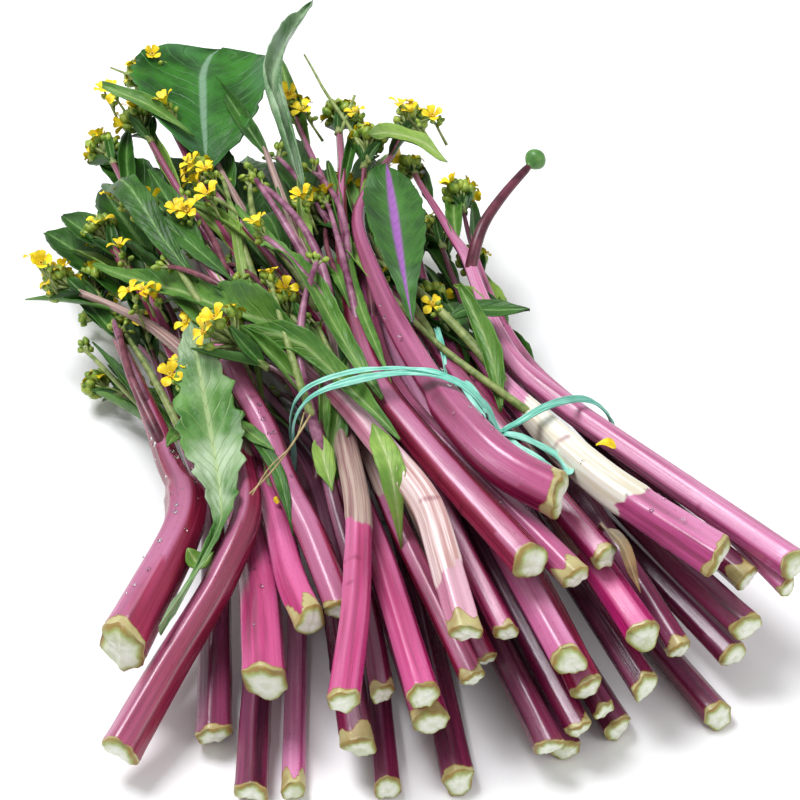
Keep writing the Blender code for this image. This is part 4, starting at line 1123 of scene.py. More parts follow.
@dataclass
class FlowerParts:
    """The parts of which the bud heads and the single flowers are made.

    Args:
        petal_length: the length of a petal.
        petal_width: its greatest width.
        stamen_length: how far the stamens stand out.
        stamen_size: the radius of their tips.
    """

    petal_length: float = 6.8 * MM
    petal_width: float = 4.8 * MM
    stamen_length: float = 2.6 * MM
    stamen_size: float = 0.5 * MM

    def stalk(self, bm: bmesh.types.BMesh, start: Vector, end: Vector, low: float, high: float) -> None:
        """Add a short tapered stalk.

        Args:
            bm: the mesh that it is added to.
            start: where it starts.
            end: where it ends.
            low: its radius at the start.
            high: its radius at the end.
        """
        way = end - start
        turn = Vector((0, 0, 1)).rotation_difference(way).to_matrix().to_4x4()
        place = Matrix.Translation(0.5 * (start + end)) @ turn
        part = bmesh.new()
        bmesh.ops.create_cone(
            part, cap_ends=True, segments=6, radius1=low, radius2=high, depth=way.length, matrix=place)
        absorb(bm, part, 1)

    def bud(self, bm: bmesh.types.BMesh, place: Vector, out: Vector, radius: float, length: float) -> None:
        """Add a pointed oval bud with four low ridges where its sepals meet.

        Args:
            bm: the mesh that it is added to.
            place: where it sits.
            out: the way that it points.
            radius: its radius.
            length: its length.
        """
        part = bmesh.new()
        turn = Vector((0, 0, 1)).rotation_difference(out).to_matrix()
        for vert in bmesh.ops.create_uvsphere(part, u_segments=8, v_segments=6, radius=1.0)["verts"]:
            x, y, z = vert.co
            ridge = 1 + 0.09 * math.cos(4 * math.atan2(y, x))
            taper = 1 - 0.28 * max(0.0, z)
            local = Vector((x * radius * ridge * taper, y * radius * ridge * taper, (z * 0.5 + 0.3) * length))
            vert.co = place + turn @ local
        absorb(bm, part, 0)

    def flower(self, bm: bmesh.types.BMesh, place: Vector, out: Vector, draw: random.Random) -> None:
        """Add four spoon-shaped petals round a tuft of stamens.

        Args:
            bm: the mesh that they are added to.
            place: where the flower sits.
            out: the way that it faces.
            draw: what its turn, size and cup are drawn from.
        """
        across = out.cross(Vector((0.1, 0, 1))).normalized()
        over = out.cross(across)
        start, size, cup = draw.uniform(0, math.pi / 2), draw.uniform(0.8, 1.15), draw.uniform(0.2, 1.5)
        for petal in range(4):
            angle = start + petal * math.pi / 2 + draw.uniform(-0.2, 0.2)
            flat = math.cos(angle) * across + math.sin(angle) * over
            self.petal(bm, place, flat, out, cup + draw.uniform(-0.2, 0.3), size)
        part = bmesh.new()
        for index in range(6):
            angle = index * math.pi / 3
            lean = (out + 0.35 * (math.cos(angle) * across + math.sin(angle) * over)).normalized()
            tip = Matrix.Translation(place + self.stamen_length * lean)
            bmesh.ops.create_icosphere(part, subdivisions=1, radius=self.stamen_size, matrix=tip)
        absorb(bm, part, 3)

    def petal(self, bm: bmesh.types.BMesh, place: Vector, flat: Vector, out: Vector, lift: float,
              size: float) -> None:
        """Add one petal: a narrow claw that opens to a rounded blade and curls back.

        Args:
            bm: the mesh that it is added to.
            place: where it starts.
            flat: the way that it lies when it is wide open.
            out: the way that the flower faces.
            lift: how steeply it stands up.
            size: its size, as a share of the usual one.
        """
        part = bmesh.new()
        side = out.cross(flat).normalized()
        for vert in bmesh.ops.create_grid(part, x_segments=4, y_segments=6, size=1.0)["verts"]:
            x, t = vert.co.x, (vert.co.y + 1) / 2
            spread = math.sin(math.pi * min(1, 0.12 + 0.88 * t) * 0.62) ** 2.2
            width = 0.5 * self.petal_width * (0.16 + 0.84 * spread)
            width *= math.sqrt(max(0.02, 1 - max(0.0, (t - 0.72) / 0.3) ** 2))
            rise = lift * t + 0.7 * t * (1 - t) - 0.3 * t**3 + 0.12 * x * x * t
            reach = self.petal_length / math.sqrt(1 + 0.6 * lift**2)
            vert.co = place + size * (reach * (t * flat + rise * out) + width * x * side)
        absorb(bm, part, 2)


class Workshop:
    """Keeps the finishes that have been made, and puts finished meshes in the scene."""

    def __init__(self) -> None:
        """Start with no materials."""
        self.made: dict[str, bpy.types.Material] = {}

    def material(self, finish) -> bpy.types.Material:
        """The material of a finish, made once."""
        if finish.name not in self.made:
            self.made[finish.name] = finish.make()
        return self.made[finish.name]

    def piece(self, name: str, bm: bmesh.types.BMesh, finishes: list, node: str | None = None):
        """Turn a mesh in the making into a piece of the bunch.

        Args:
            name: the piece's name.
            bm: the mesh, which is freed.
            finishes: the finishes of its material slots.
            node: the solid that it stands for, if any.

        Returns:
            The new object.
        """
        for vert in bm.verts:
            vert.co.z = max(vert.co.z, 0.0)
            if vert.co.z > EASE_FROM:
                vert.co.z = EASE_FROM + EASE_ROOM * (1 - math.exp((EASE_FROM - vert.co.z) / EASE_ROOM))
        mesh = bpy.data.meshes.new(name)
        bm.to_mesh(mesh)
        bm.free()
        for finish in finishes:
            mesh.materials.append(self.material(finish))
        mesh.shade_smooth()
        made = bpy.data.objects.new(name, mesh)
        bpy.context.scene.collection.objects.link(made)
        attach(made, BODY)
        if node:
            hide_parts(node)
        LOG.info("%s: %d faces", name, len(mesh.polygons))
        return made


@dataclass(frozen=True)
class StemQuirks:
    """What makes one stem differ from the next: its facets, its scars and its torn end.

    Args:
        facets: how many flat sides it has.
        turn: where they start.
        twist: how far they wind round it, in radians.
        knots: where its leaf scars are, as shares of its length, and on which side.
        peel: how far its skin is torn back from the cut.
        fray: how far, and from where, the torn border waves two, three and four times round.
        jags: how often, how deep and from where the cut's edge waves.
    """

    facets: int
    turn: float
    twist: float
    knots: list[tuple[float, float]]
    peel: float
    fray: list[tuple[float, float]]
    jags: list[tuple[int, float, float]]

    @classmethod
    def drawn(cls, draw: random.Random) -> "StemQuirks":
        """Draw one stem's quirks.

        Args:
            draw: what they are drawn from.

        Returns:
            The quirks.
        """
        facets, turn, twist = draw.choice((5, 6, 6, 7)), draw.uniform(0, 6), draw.uniform(-0.6, 0.6)
        knots = sorted(draw.uniform(0.12, 0.8) for _ in range(3))
        knots = [(knot, draw.uniform(0, 6)) for knot in knots]
        peel = draw.choice((0.6, 1.0, 1.5, 2.0, 3.0, 6.0)) * MM
        fray = [draw.uniform(0.2, 1.0) * peel * 0.5 for _ in range(3)]
        fray = [(depth, draw.uniform(0, 6)) for depth in fray]
        waves = ((2, 0.07), (5, 0.035), (9, 0.03))
        jags = [(count, depth * draw.uniform(0.3, 1.6), draw.uniform(0, 6)) for count, depth in waves]
        return cls(facets, turn, twist, knots, peel, fray, jags)


@dataclass
class RibbedStem:
    """One stem: a faceted, glossy stalk whose skin is torn back a little from its cut end.

    Args:
        trace: where the stem runs.
        number: its place in the bunch, which sets its small differences.
        sheath_from: where a pale leaf sheath starts to wrap it, in metres from the cut end.
        sheath_to: where that sheath ends.
        neck: how far along, as a share, it narrows at a joint, and to what share of its width.
        sides: how many sides its mesh has.
        facet_depth: how flat its facets are, from 0 to 1.
        slimming: how much of its width it loses towards the tip.
        sky: the way towards the sky light; the facets that face it carry a painted reflection of it.
        station_gap: how far apart its rings are.
        end_gap: the same near the cut end.
        end_zone: how far from the cut end that is.
        neck_share: over what share of its length it narrows at the joint.
        cut_rings: the rings on the cut, by their share of its radius and how far they swell out.
    """

    trace: StemTrace
    number: int
    sheath_from: float = 1.0
    sheath_to: float = 1.0
    neck: tuple[float, float] = (1.0, 1.0)
    sides: int = 32
    facet_depth: float = 0.9
    slimming: float = 0.28
    sky: tuple[float, float, float] = (-0.28, 0.12, 0.95)
    station_gap: float = 4.0 * MM
    end_gap: float = 1.3 * MM
    end_zone: float = 20 * MM
    neck_share: float = 0.035
    cut_rings: tuple = ((0.96, 0.07), (0.87, 0.15), (0.7, 0.22), (0.5, 0.25), (0.28, 0.26), (0.1, 0.26))

    def build(self) -> bmesh.types.BMesh:
        """Sweep the faceted section along the stem and close its cut end."""
        draw = random.Random(self.number)
        quirks = StemQuirks.drawn(draw)
        runs, line, radii = self._stations()
        along = headings(line)
        side = np.cross(along, (0.0, 0.0, 1.0))
        side /= np.linalg.norm(side, axis=1)[:, None]
        up = np.cross(side, along)
        angles = np.arange(self.sides) * 2 * math.pi / self.sides
        bm = bmesh.new()
        rind = bm.loops.layers.uv.new("rind")
        layers, rings, last = {}, [], None
        for name in ("pale", "ridge", "ring", "flesh", "scar", "sheath", "painted_sheen"):
            layers[name] = bm.verts.layers.float.new(name)
        for station, run in enumerate(runs):
            radius = radii[station]
            marks = self._marks(quirks, run, radius, angles, side[station], up[station])
            shallow = math.cos(math.pi / quirks.facets)
            size = 1 - self.facet_depth * (1 - shallow) * (1 - marks["ridge"])
            size = size - 0.03 * marks["flesh"] + 0.05 * marks["scar"] + 0.07 * marks["sheath"]
            size = radius * (size + 0.07 * math.exp(-run / (3 * MM)))
            out = np.outer(np.cos(angles), side[station]) + np.outer(np.sin(angles), up[station])
            points = line[station] + size[:, None] * out
            if run < self.end_zone:
                points = points + self._slant(quirks, run, radii[0], angles, points - line[station], along[station])
            points[:, 2] = np.maximum(points[:, 2], 0.0)
            last = next_ring(bm, last, points)[0]
            for index, vert in enumerate(last):
                for name, values in marks.items():
                    vert[layers[name]] = float(values[index])
            rings.append(last)
        self._map_rind(bm, rings, runs, rind)
        bm.faces.new(rings[-1])
        self._close_cut(bm, rings[0], line[0], along[0], layers["ring"], draw)
        bmesh.ops.recalc_face_normals(bm, faces=bm.faces)
        return bm

    def _stations(self) -> tuple[np.ndarray, np.ndarray, np.ndarray]:
        """How far along each ring is, with its middle and its radius."""
        length = self.trace.length
        close = np.arange(0, self.end_zone, self.end_gap)
        count = round((length - self.end_zone) / self.station_gap)
        runs = np.append(close, np.linspace(self.end_zone, length, count))
        place = runs_along(self.trace.line)
        line = np.stack([np.interp(runs, place, self.trace.line[:, axis]) for axis in range(3)], 1)
        radii = np.interp(runs, place, self.trace.radii)
        radii = radii * (1 - self.slimming * np.clip((runs / length - 0.4) / 0.6, 0, 1))
        past_neck = np.clip((runs / length - self.neck[0]) / self.neck_share, 0, 1)
        return runs, line, radii * (1 - (1 - self.neck[1]) * past_neck)

    def _marks(self, quirks: StemQuirks, run: float, radius: float, angles: np.ndarray, side: np.ndarray,
               up: np.ndarray) -> dict[str, np.ndarray]:
        """What the skin carries at each place of one ring, for its shape and for its finish.

        Args:
            quirks: the stem's quirks.
            run: how far from the cut end the ring is.
            radius: the stem's radius there.
            angles: the angle of each place.
            side: the direction of the first place.
            up: the direction a quarter of a turn on.

        Returns:
            The numbers by name.
        """
        share = run / self.trace.length
        half_facet = math.pi / quirks.facets
        facing = (angles + quirks.turn + quirks.twist * share) % (2 * half_facet) - half_facet
        shallow = math.cos(half_facet)
        flat = angles - facing
        toward = np.outer(np.cos(flat), side) + np.outer(np.sin(flat), up)
        # Painted sheen: how squarely each facet faces the sky light, which tints it with a painted reflection of
        # that light.
        painted_sheen = np.clip((toward @ unit(np.array(self.sky)) - 0.62) / 0.26, 0, 1)
        ridge = (shallow / np.cos(facing) - shallow) / (1 - shallow)
        ridge = ridge + 0.22 * np.cos(2 * angles + quirks.fray[0][1] + 3 * share)
        ridge = ridge + 0.2 * np.cos(3 * angles + quirks.fray[1][1])
        border = sum(depth * np.cos((k + 2) * angles + phase) for k, (depth, phase) in enumerate(quirks.fray))
        flesh = np.clip(0.5 + (quirks.peel + border - run) / (1.2 * MM), 0, 1)
        scar = np.zeros(self.sides)
        for knot, knot_side in quirks.knots:
            lean = 0.5 * radius * np.cos(angles - knot_side)
            band = np.exp(-(((run - knot * self.trace.length + lean) / (1.6 * MM)) ** 2))
            scar = np.maximum(scar, band * np.clip(0.5 + 0.7 * np.cos(angles - knot_side), 0, 1))
        slant = 9 * MM * np.abs(np.sin(0.5 * (angles - quirks.turn)))
        sheath = np.clip((run - self.sheath_from + slant) / (2 * MM), 0, 1)
        sheath = sheath * np.clip((self.sheath_to - run + slant) / (12 * MM), 0, 1)
        pale = np.full(self.sides, self._paleness(share))
        return {"pale": pale, "ridge": ridge, "ring": np.ones(self.sides), "flesh": flesh, "scar": scar,
                "sheath": sheath, "painted_sheen": painted_sheen}

    def _slant(self, quirks: StemQuirks, run: float, radius: float, angles: np.ndarray, offsets: np.ndarray,
               along: np.ndarray) -> np.ndarray:
        """Lean a ring near the cut end with the cut, and wave the cut's edge.

        Args:
            quirks: the stem's quirks.
            run: how far from the cut end the ring is.
            radius: the stem's radius at the cut end.
            angles: the angle of each place.
            offsets: the places, seen from the ring's middle.
            along: the stem's direction.

        Returns:
            A move for each place.
        """
        fade = 1 - run / self.end_zone
        lean = -(offsets @ self.trace.cut_normal) / (along @ self.trace.cut_normal)
        jag = sum(depth * np.sin(waves * angles + phase) for waves, depth, phase in quirks.jags) * radius
        return np.outer(fade * np.clip(lean, -0.5 * radius, 0.5 * radius) + fade**4 * jag, along)

    def _paleness(self, share: float) -> float:
        """How far the skin has turned to the green-brown of the tips, by how far along the stem it is."""
        return min(0.75, max(0.0, share - 0.7) * 1.9)

    def _map_rind(self, bm: bmesh.types.BMesh, rings: list, runs: np.ndarray, rind) -> None:
        """Give the skin coordinates round it, and along it in tenths of a metre.

        Args:
            bm: the mesh.
            rings: the vertices of each ring.
            runs: how far from the cut end each ring is.
            rind: the layer of the coordinates.
        """
        place = {}
        for run, verts in zip(runs, rings):
            for column, vert in enumerate(verts):
                place[vert] = (column / self.sides, run * 10)
        offset = 0.37 * self.number
        for face in bm.faces:
            spots = [place[loop.vert] for loop in face.loops]
            wraps = max(u for u, _ in spots) > 0.9 and min(u for u, _ in spots) < 0.1
            for loop, (u, v) in zip(face.loops, spots):
                loop[rind].uv = ((u + 1.0 if wraps and u < 0.5 else u) + offset, v)

    def _close_cut(self, bm: bmesh.types.BMesh, verts: list, centre: np.ndarray, way: np.ndarray, ring,
                   draw: random.Random) -> None:
        """Draw the skin in over the cut in a few uneven rings.

        Args:
            bm: the mesh.
            verts: the vertices round the cut, in order.
            centre: the middle of the cut.
            way: the stem's direction.
            ring: the layer that says how far out on the cut a place is.
            draw: what the unevenness is drawn from.
        """
        last = verts
        size = float(self.trace.radii[0])
        middle, back = Vector(centre), -Vector(way)
        tilt = draw.uniform(0, 6)
        for share, swell in self.cut_rings:
            points = []
            for index, outer in enumerate(verts):
                angle = index * 2 * math.pi / self.sides
                wave = 0.08 * math.sin(2 * angle + tilt) + 0.05 * math.sin(5 * angle + 2 * tilt)
                wave += draw.uniform(-0.025, 0.025)
                points.append(middle + share * (outer.co - middle) + back * size * (swell + wave * share))
            last, faces = next_ring(bm, last, points)
            for vert in last:
                vert[ring] = share
            for face in faces:
                face.material_index = 1
        cap = bm.faces.new(last)
        cap.material_index = 1


@dataclass
class LeafBlade:
    """One leaf: a thin veined blade whose edge waves.

    Args:
        shape: its upper face.
        wave: how far its edge waves up and down.
        quilt: how far the blade swells between its veins.
        thickness: how thick the blade is.
        lobes: how deep its edge is notched, as a share of its half width.
        seed: what its ripples start from.
        fold: how far each side is bent up, in radians.
    """

    shape: BladeShape
    wave: float = 0.7 * MM
    quilt: float = 0.35 * MM
    thickness: float = 0.5 * MM
    lobes: float = 0.0
    seed: int = 0
    fold: float = 0.0

    def add_to(self, bm: bmesh.types.BMesh, material: int = 0) -> None:
        """Lay a grid over the shape and give it its ribs, quilting and thickness.

        Args:
            bm: the mesh that it is added to.
            material: its place among the finishes.
        """
        surface, half = self.shape.surface.copy(), self.shape.half
        count, columns = surface.shape[:2]
        spots, share = np.linspace(-1, 1, columns), np.linspace(0, 1, count)
        veins = share[:, None] * 9 - np.abs(spots)[None] * 2.6
        quilt = np.cos(2 * math.pi * veins) * np.sin(math.pi * np.abs(spots))[None]
        draw = random.Random(self.seed)
        run = share[:, None] * self.shape.length / MM
        edge = np.sign(spots)[None]
        ripple, notch = 0.0, 0.0
        for _ in range(3):
            ripple += np.sin(run / draw.uniform(1.6, 5.5) + draw.uniform(0, 6) + draw.uniform(1, 5) * edge)
        for _ in range(3):
            notch += np.sin(run / draw.uniform(0.9, 3.0) + draw.uniform(0, 6) + 2 * edge) / 3
        middle = surface[:, columns // 2][:, None]
        surface += (self.lobes * notch * (np.abs(spots) ** 2)[None])[..., None] * (surface - middle)
        bent = self.fold * np.abs(spots)[None, :, None] * (1 + 0.4 * np.sin(0.04 * run))[..., None]
        span = np.linalg.norm(surface - middle, axis=2, keepdims=True)
        surface = middle + np.cos(bent) * (surface - middle) + np.sin(bent) * span * np.array([0.0, 0.0, 1.0])
        fade = np.minimum(1, half / (9 * MM))[:, None] ** 0.5
        surface[:, :, 2] += fade * (self.quilt * quilt + self.wave * ripple * (np.abs(spots) ** 4)[None]) - 0.2 * MM
        surface[:, :, 2] -= 0.5 * MM * np.exp(-((spots / 0.12) ** 2))[None] * fade
        surface[:, :, 2] = np.maximum(surface[:, :, 2], 0.6 * MM)
        part = bmesh.new()
        lay_grid(part, surface, spots, share * self.shape.length / (60 * MM))
        for face in part.faces:
            face.normal_update()
        if sum(face.normal.z for face in part.faces) < 0:
            bmesh.ops.reverse_faces(part, faces=part.faces)
        bmesh.ops.solidify(part, geom=part.faces[:], thickness=self.thickness)
        absorb(bm, part, material)


@dataclass
class BudHead(FlowerParts):
    """The flowering head of a stem: a dome of buds on short stalks, with open flowers and small leaves round it.

    Args:
        trace: the stem that carries it.
        radius: how wide it may be.
        length: how long it may be.
        number: its place in the bunch.
        buds: how many buds it has.
        flowers: how many open flowers it has.
        leaves: how many small leaves it has.
    """

    trace: StemTrace | None = None
    radius: float = 9 * MM
    length: float = 26 * MM
    number: int = 0
    buds: int = 28
    flowers: int = 3
    leaves: int = 3

    def build(self) -> bmesh.types.BMesh:
        """Set the buds, flowers and leaves round the axis."""
        draw = random.Random(100 + self.number)
        axis = Vector(self.trace.direction).normalized()
        across = axis.cross(Vector((0, 0, 1))).normalized()
        over = axis.cross(across)
        axis = (axis + draw.uniform(-0.15, 0.15) * across + draw.uniform(-0.1, 0.15) * over).normalized()
        base = Vector(self.trace.line[-1])
        heart = base + 0.46 * self.length * axis
        bm = bmesh.new()
        bm.loops.layers.uv.new("rind")
        self.stalk(bm, base - 5 * MM * axis, heart, 1.9 * MM, 1.4 * MM)
        for index in range(self.buds):
            share = (index + 0.5) / self.buds
            polar = 1.2 * math.sqrt(share) * draw.uniform(0.85, 1.15)
            angle = index * GOLDEN_ANGLE + self.number
            spread = math.cos(angle) * across + math.sin(angle) * over
            out = (math.cos(polar) * axis + math.sin(polar) * spread).normalized()
            reach = 0.30 * self.length * math.cos(polar) + 0.5 * self.radius * math.sin(polar)
            reach *= draw.uniform(0.8, 1.0)
            width = (1.5 + 0.8 * share) * draw.uniform(0.85, 1.15) * MM
            end = heart + reach * out - 0.10 * self.length * share * axis
            self.stalk(bm, heart - 5 * MM * share * axis, end, 0.8 * MM, 0.6 * MM)
            self.bud(bm, end, (out + 0.5 * axis).normalized(), width, width * 2.7)
        for index in range(self.flowers):
            angle = self.number * 1.7 + index * 2 * math.pi / max(1, self.flowers) + draw.uniform(-0.5, 0.5)
            lift = over if over.z > 0 else -over
            spread = (math.cos(angle) * across + math.sin(angle) * over + 0.8 * lift).normalized()
            out = (draw.uniform(0.4, 1.1) * axis + spread).normalized()
            end = heart + 0.62 * self.radius * out
            self.stalk(bm, heart - 4 * MM * axis, end, 0.7 * MM, 0.5 * MM)
            self.flower(bm, end, out, draw)
        for index in range(self.leaves):
            angle = self.number + index * 2.3 + draw.uniform(-0.4, 0.4)
            spread = math.cos(angle) * across + math.sin(angle) * over
            way = (axis + 0.5 * spread).normalized()
            length, half = draw.uniform(0.6, 0.95) * self.length, draw.uniform(2.0, 3.4) * MM
            start = np.array(base - 3 * MM * axis)
            leaf = free_leaf(start, np.array(way), np.array(way.cross(spread)), length, half, 0.1, 5, 0.15, 0.5)
            LeafBlade(leaf, 0.5 * MM, 0.2 * MM, 0.4 * MM, seed=index, fold=0.4).add_to(bm, 4)
        return bm


# Places and sizes below are in millimetres
BLOSSOMS: list[tuple[int, int, int]] = [
    (-41, 98, 84), (-59, 73, 82), (-55, 70, 84), (-43, 82, 82), (-87, 44, 66), (-78, 36, 66), (-82, 40, 68),
    (-68, 16, 66), (10, 149, 82), (13, 134, 82), (-3, 68, 82), (-83, -24, 74), (-78, -20, 76), (-68, -15, 76),
    (-28, -1, 90), (-48, 154, 84), (34, -9, 74), (-73, 181, 78), (-70, 177, 80), (-84, 105, 74), (-86, 76, 66),
    (-124, 82, 62), (-122, 76, 64), (58, 125, 82), (62, 119, 82), (37, 128, 80), (-47, 196, 84), (70, 113, 82),
]
FALLEN: list[tuple[int, int, int]] = [(75, -107, 70), (-52, -80, 49)]
TWIGS: list[tuple[list[tuple], float, float]] = [
    ([(27, 119, 78), (33, 129, 80), (39, 138, 84)], 0.9, 0.7),
    ([(-52, 185, 80), (-60, 190, 80), (-67, 198, 80)], 0.8, 0.5),
    ([(36, 100, 72), (34, 112, 76), (31, 128, 80), (26, 151, 82), (26, 162, 84), (23, 172, 88)], 1.3, 0.5),
    ([(-65, -90, 63), (-54, -85, 68), (-44, -78, 74), (-34, -69, 80)], 0.35, 0.5),
    ([(-64, -91, 63), (-55, -83, 70), (-43, -79, 74), (-36, -66, 79)], 0.3, 0.3),
    ([(62, 116, 78), (66, 115, 80), (70, 113, 82)], 0.6, 0.5),
]


@dataclass
class Blossoms(FlowerParts):
    """Single flowers on thin stalks among the upper stems, with a few buds and thin dry bits.

    Args:
        terrain: the height of the stems.
        gap: how far above the stems the flowers are at the least.
    """

    terrain: Terrain | None = None
    gap: float = 4 * MM

    def build(self) -> bmesh.types.BMesh:
        """Set each flower a little above the stems."""
        draw = random.Random(11)
        bm = bmesh.new()
        for x, y, z in FALLEN:
            foot = Vector((x * MM, y * MM, z * MM))
            flat = Vector((math.cos(x), math.sin(x), 0.05))
            self.petal(bm, foot, flat, Vector((0, 0, 1)), 0.1, 1.2 if x > 0 else 0.6)
        for x, y, z in BLOSSOMS:
            ground = float(self.terrain.height(np.array([x, y]) * MM))
            top = Vector((x * MM, y * MM, max(z * MM, ground + self.gap)))
            out = Vector((draw.uniform(-0.5, 0.2), draw.uniform(-0.5, 0.5), 1.0)).normalized()
            foot = top + Vector((draw.uniform(2, 8), draw.uniform(-14, -6), -draw.uniform(8, 13))) * MM
            self.stalk(bm, foot, top, 0.8 * MM, 0.5 * MM)
            self.flower(bm, top, out, draw)
            for _ in range(4):
                lean = (out + Vector([draw.uniform(-0.9, 0.9) for _ in range(3)])).normalized()
                share = draw.uniform(0.1, 0.5)
                place = top.lerp(foot, share) + 2.4 * MM * lean
                self.stalk(bm, top.lerp(foot, share + 0.15), place, 0.5 * MM, 0.4 * MM)
                self.bud(bm, place, lean, 1.25 * MM, 3.6 * MM)
        for path, low, high in TWIGS:
            line = eased(np.array(path, float) * MM, 30, 20, 12)
            add_swept(bm, line, np.linspace(low, high, 12) * MM, 7, 1 if low > 0.5 else 4)
        return bm


# The tie: where its waist line is along the bunch by the angle round it, and its bow and knot in plan
WAIST: list[tuple[float, float]] = [
    (-30, -68.6), (0, -72.6), (20, -74.0), (35, -78.0), (50, -84.5), (62, -89.5), (76, -91.0), (88, -84.0),
    (98, -74.0), (110, -66.0), (120, -62.0), (140, -58.5), (160, -55.5), (180, -53.6), (210, -57.6), (240, -61.0),
    (270, -63.0), (300, -65.6), (330, -68.6),
]
BOW: list[tuple[list[tuple], list[float]]] = [
    ([(39, -91), (45, -96), (50, -98), (56, -99), (60, -103), (62.5, -109), (62.5, -115), (58, -117), (53, -115),
      (48, -109), (43, -102), (38.5, -92)], [1.6, 2.4, 2.6, 2.0, 1.6, 1.8, 2.0, 1.8, 2.0, 2.6, 2.4, 1.4]),
    ([(39, -90), (37, -81), (35, -71), (33.5, -62), (32, -55), (30.5, -60), (29, -69), (29.5, -78), (32, -85),
      (38, -92)], [1.4, 2.4, 2.8, 2.2, 1.6, 2.0, 2.8, 2.4, 1.8, 1.2]),
    ([(36.5, -4), (34.5, -15), (32.5, -27), (31, -38), (29.6, -48), (28.5, -59), (30, -74), (38, -90)],
     [1.7, 1.5, 1.4, 1.5, 1.3, 1.2, 1.2, 1.0]),
    ([(39, -92), (35, -95), (30, -97)], [1.0, 1.1, 0.9]),
]
KNOT = (39.0, -91.0)


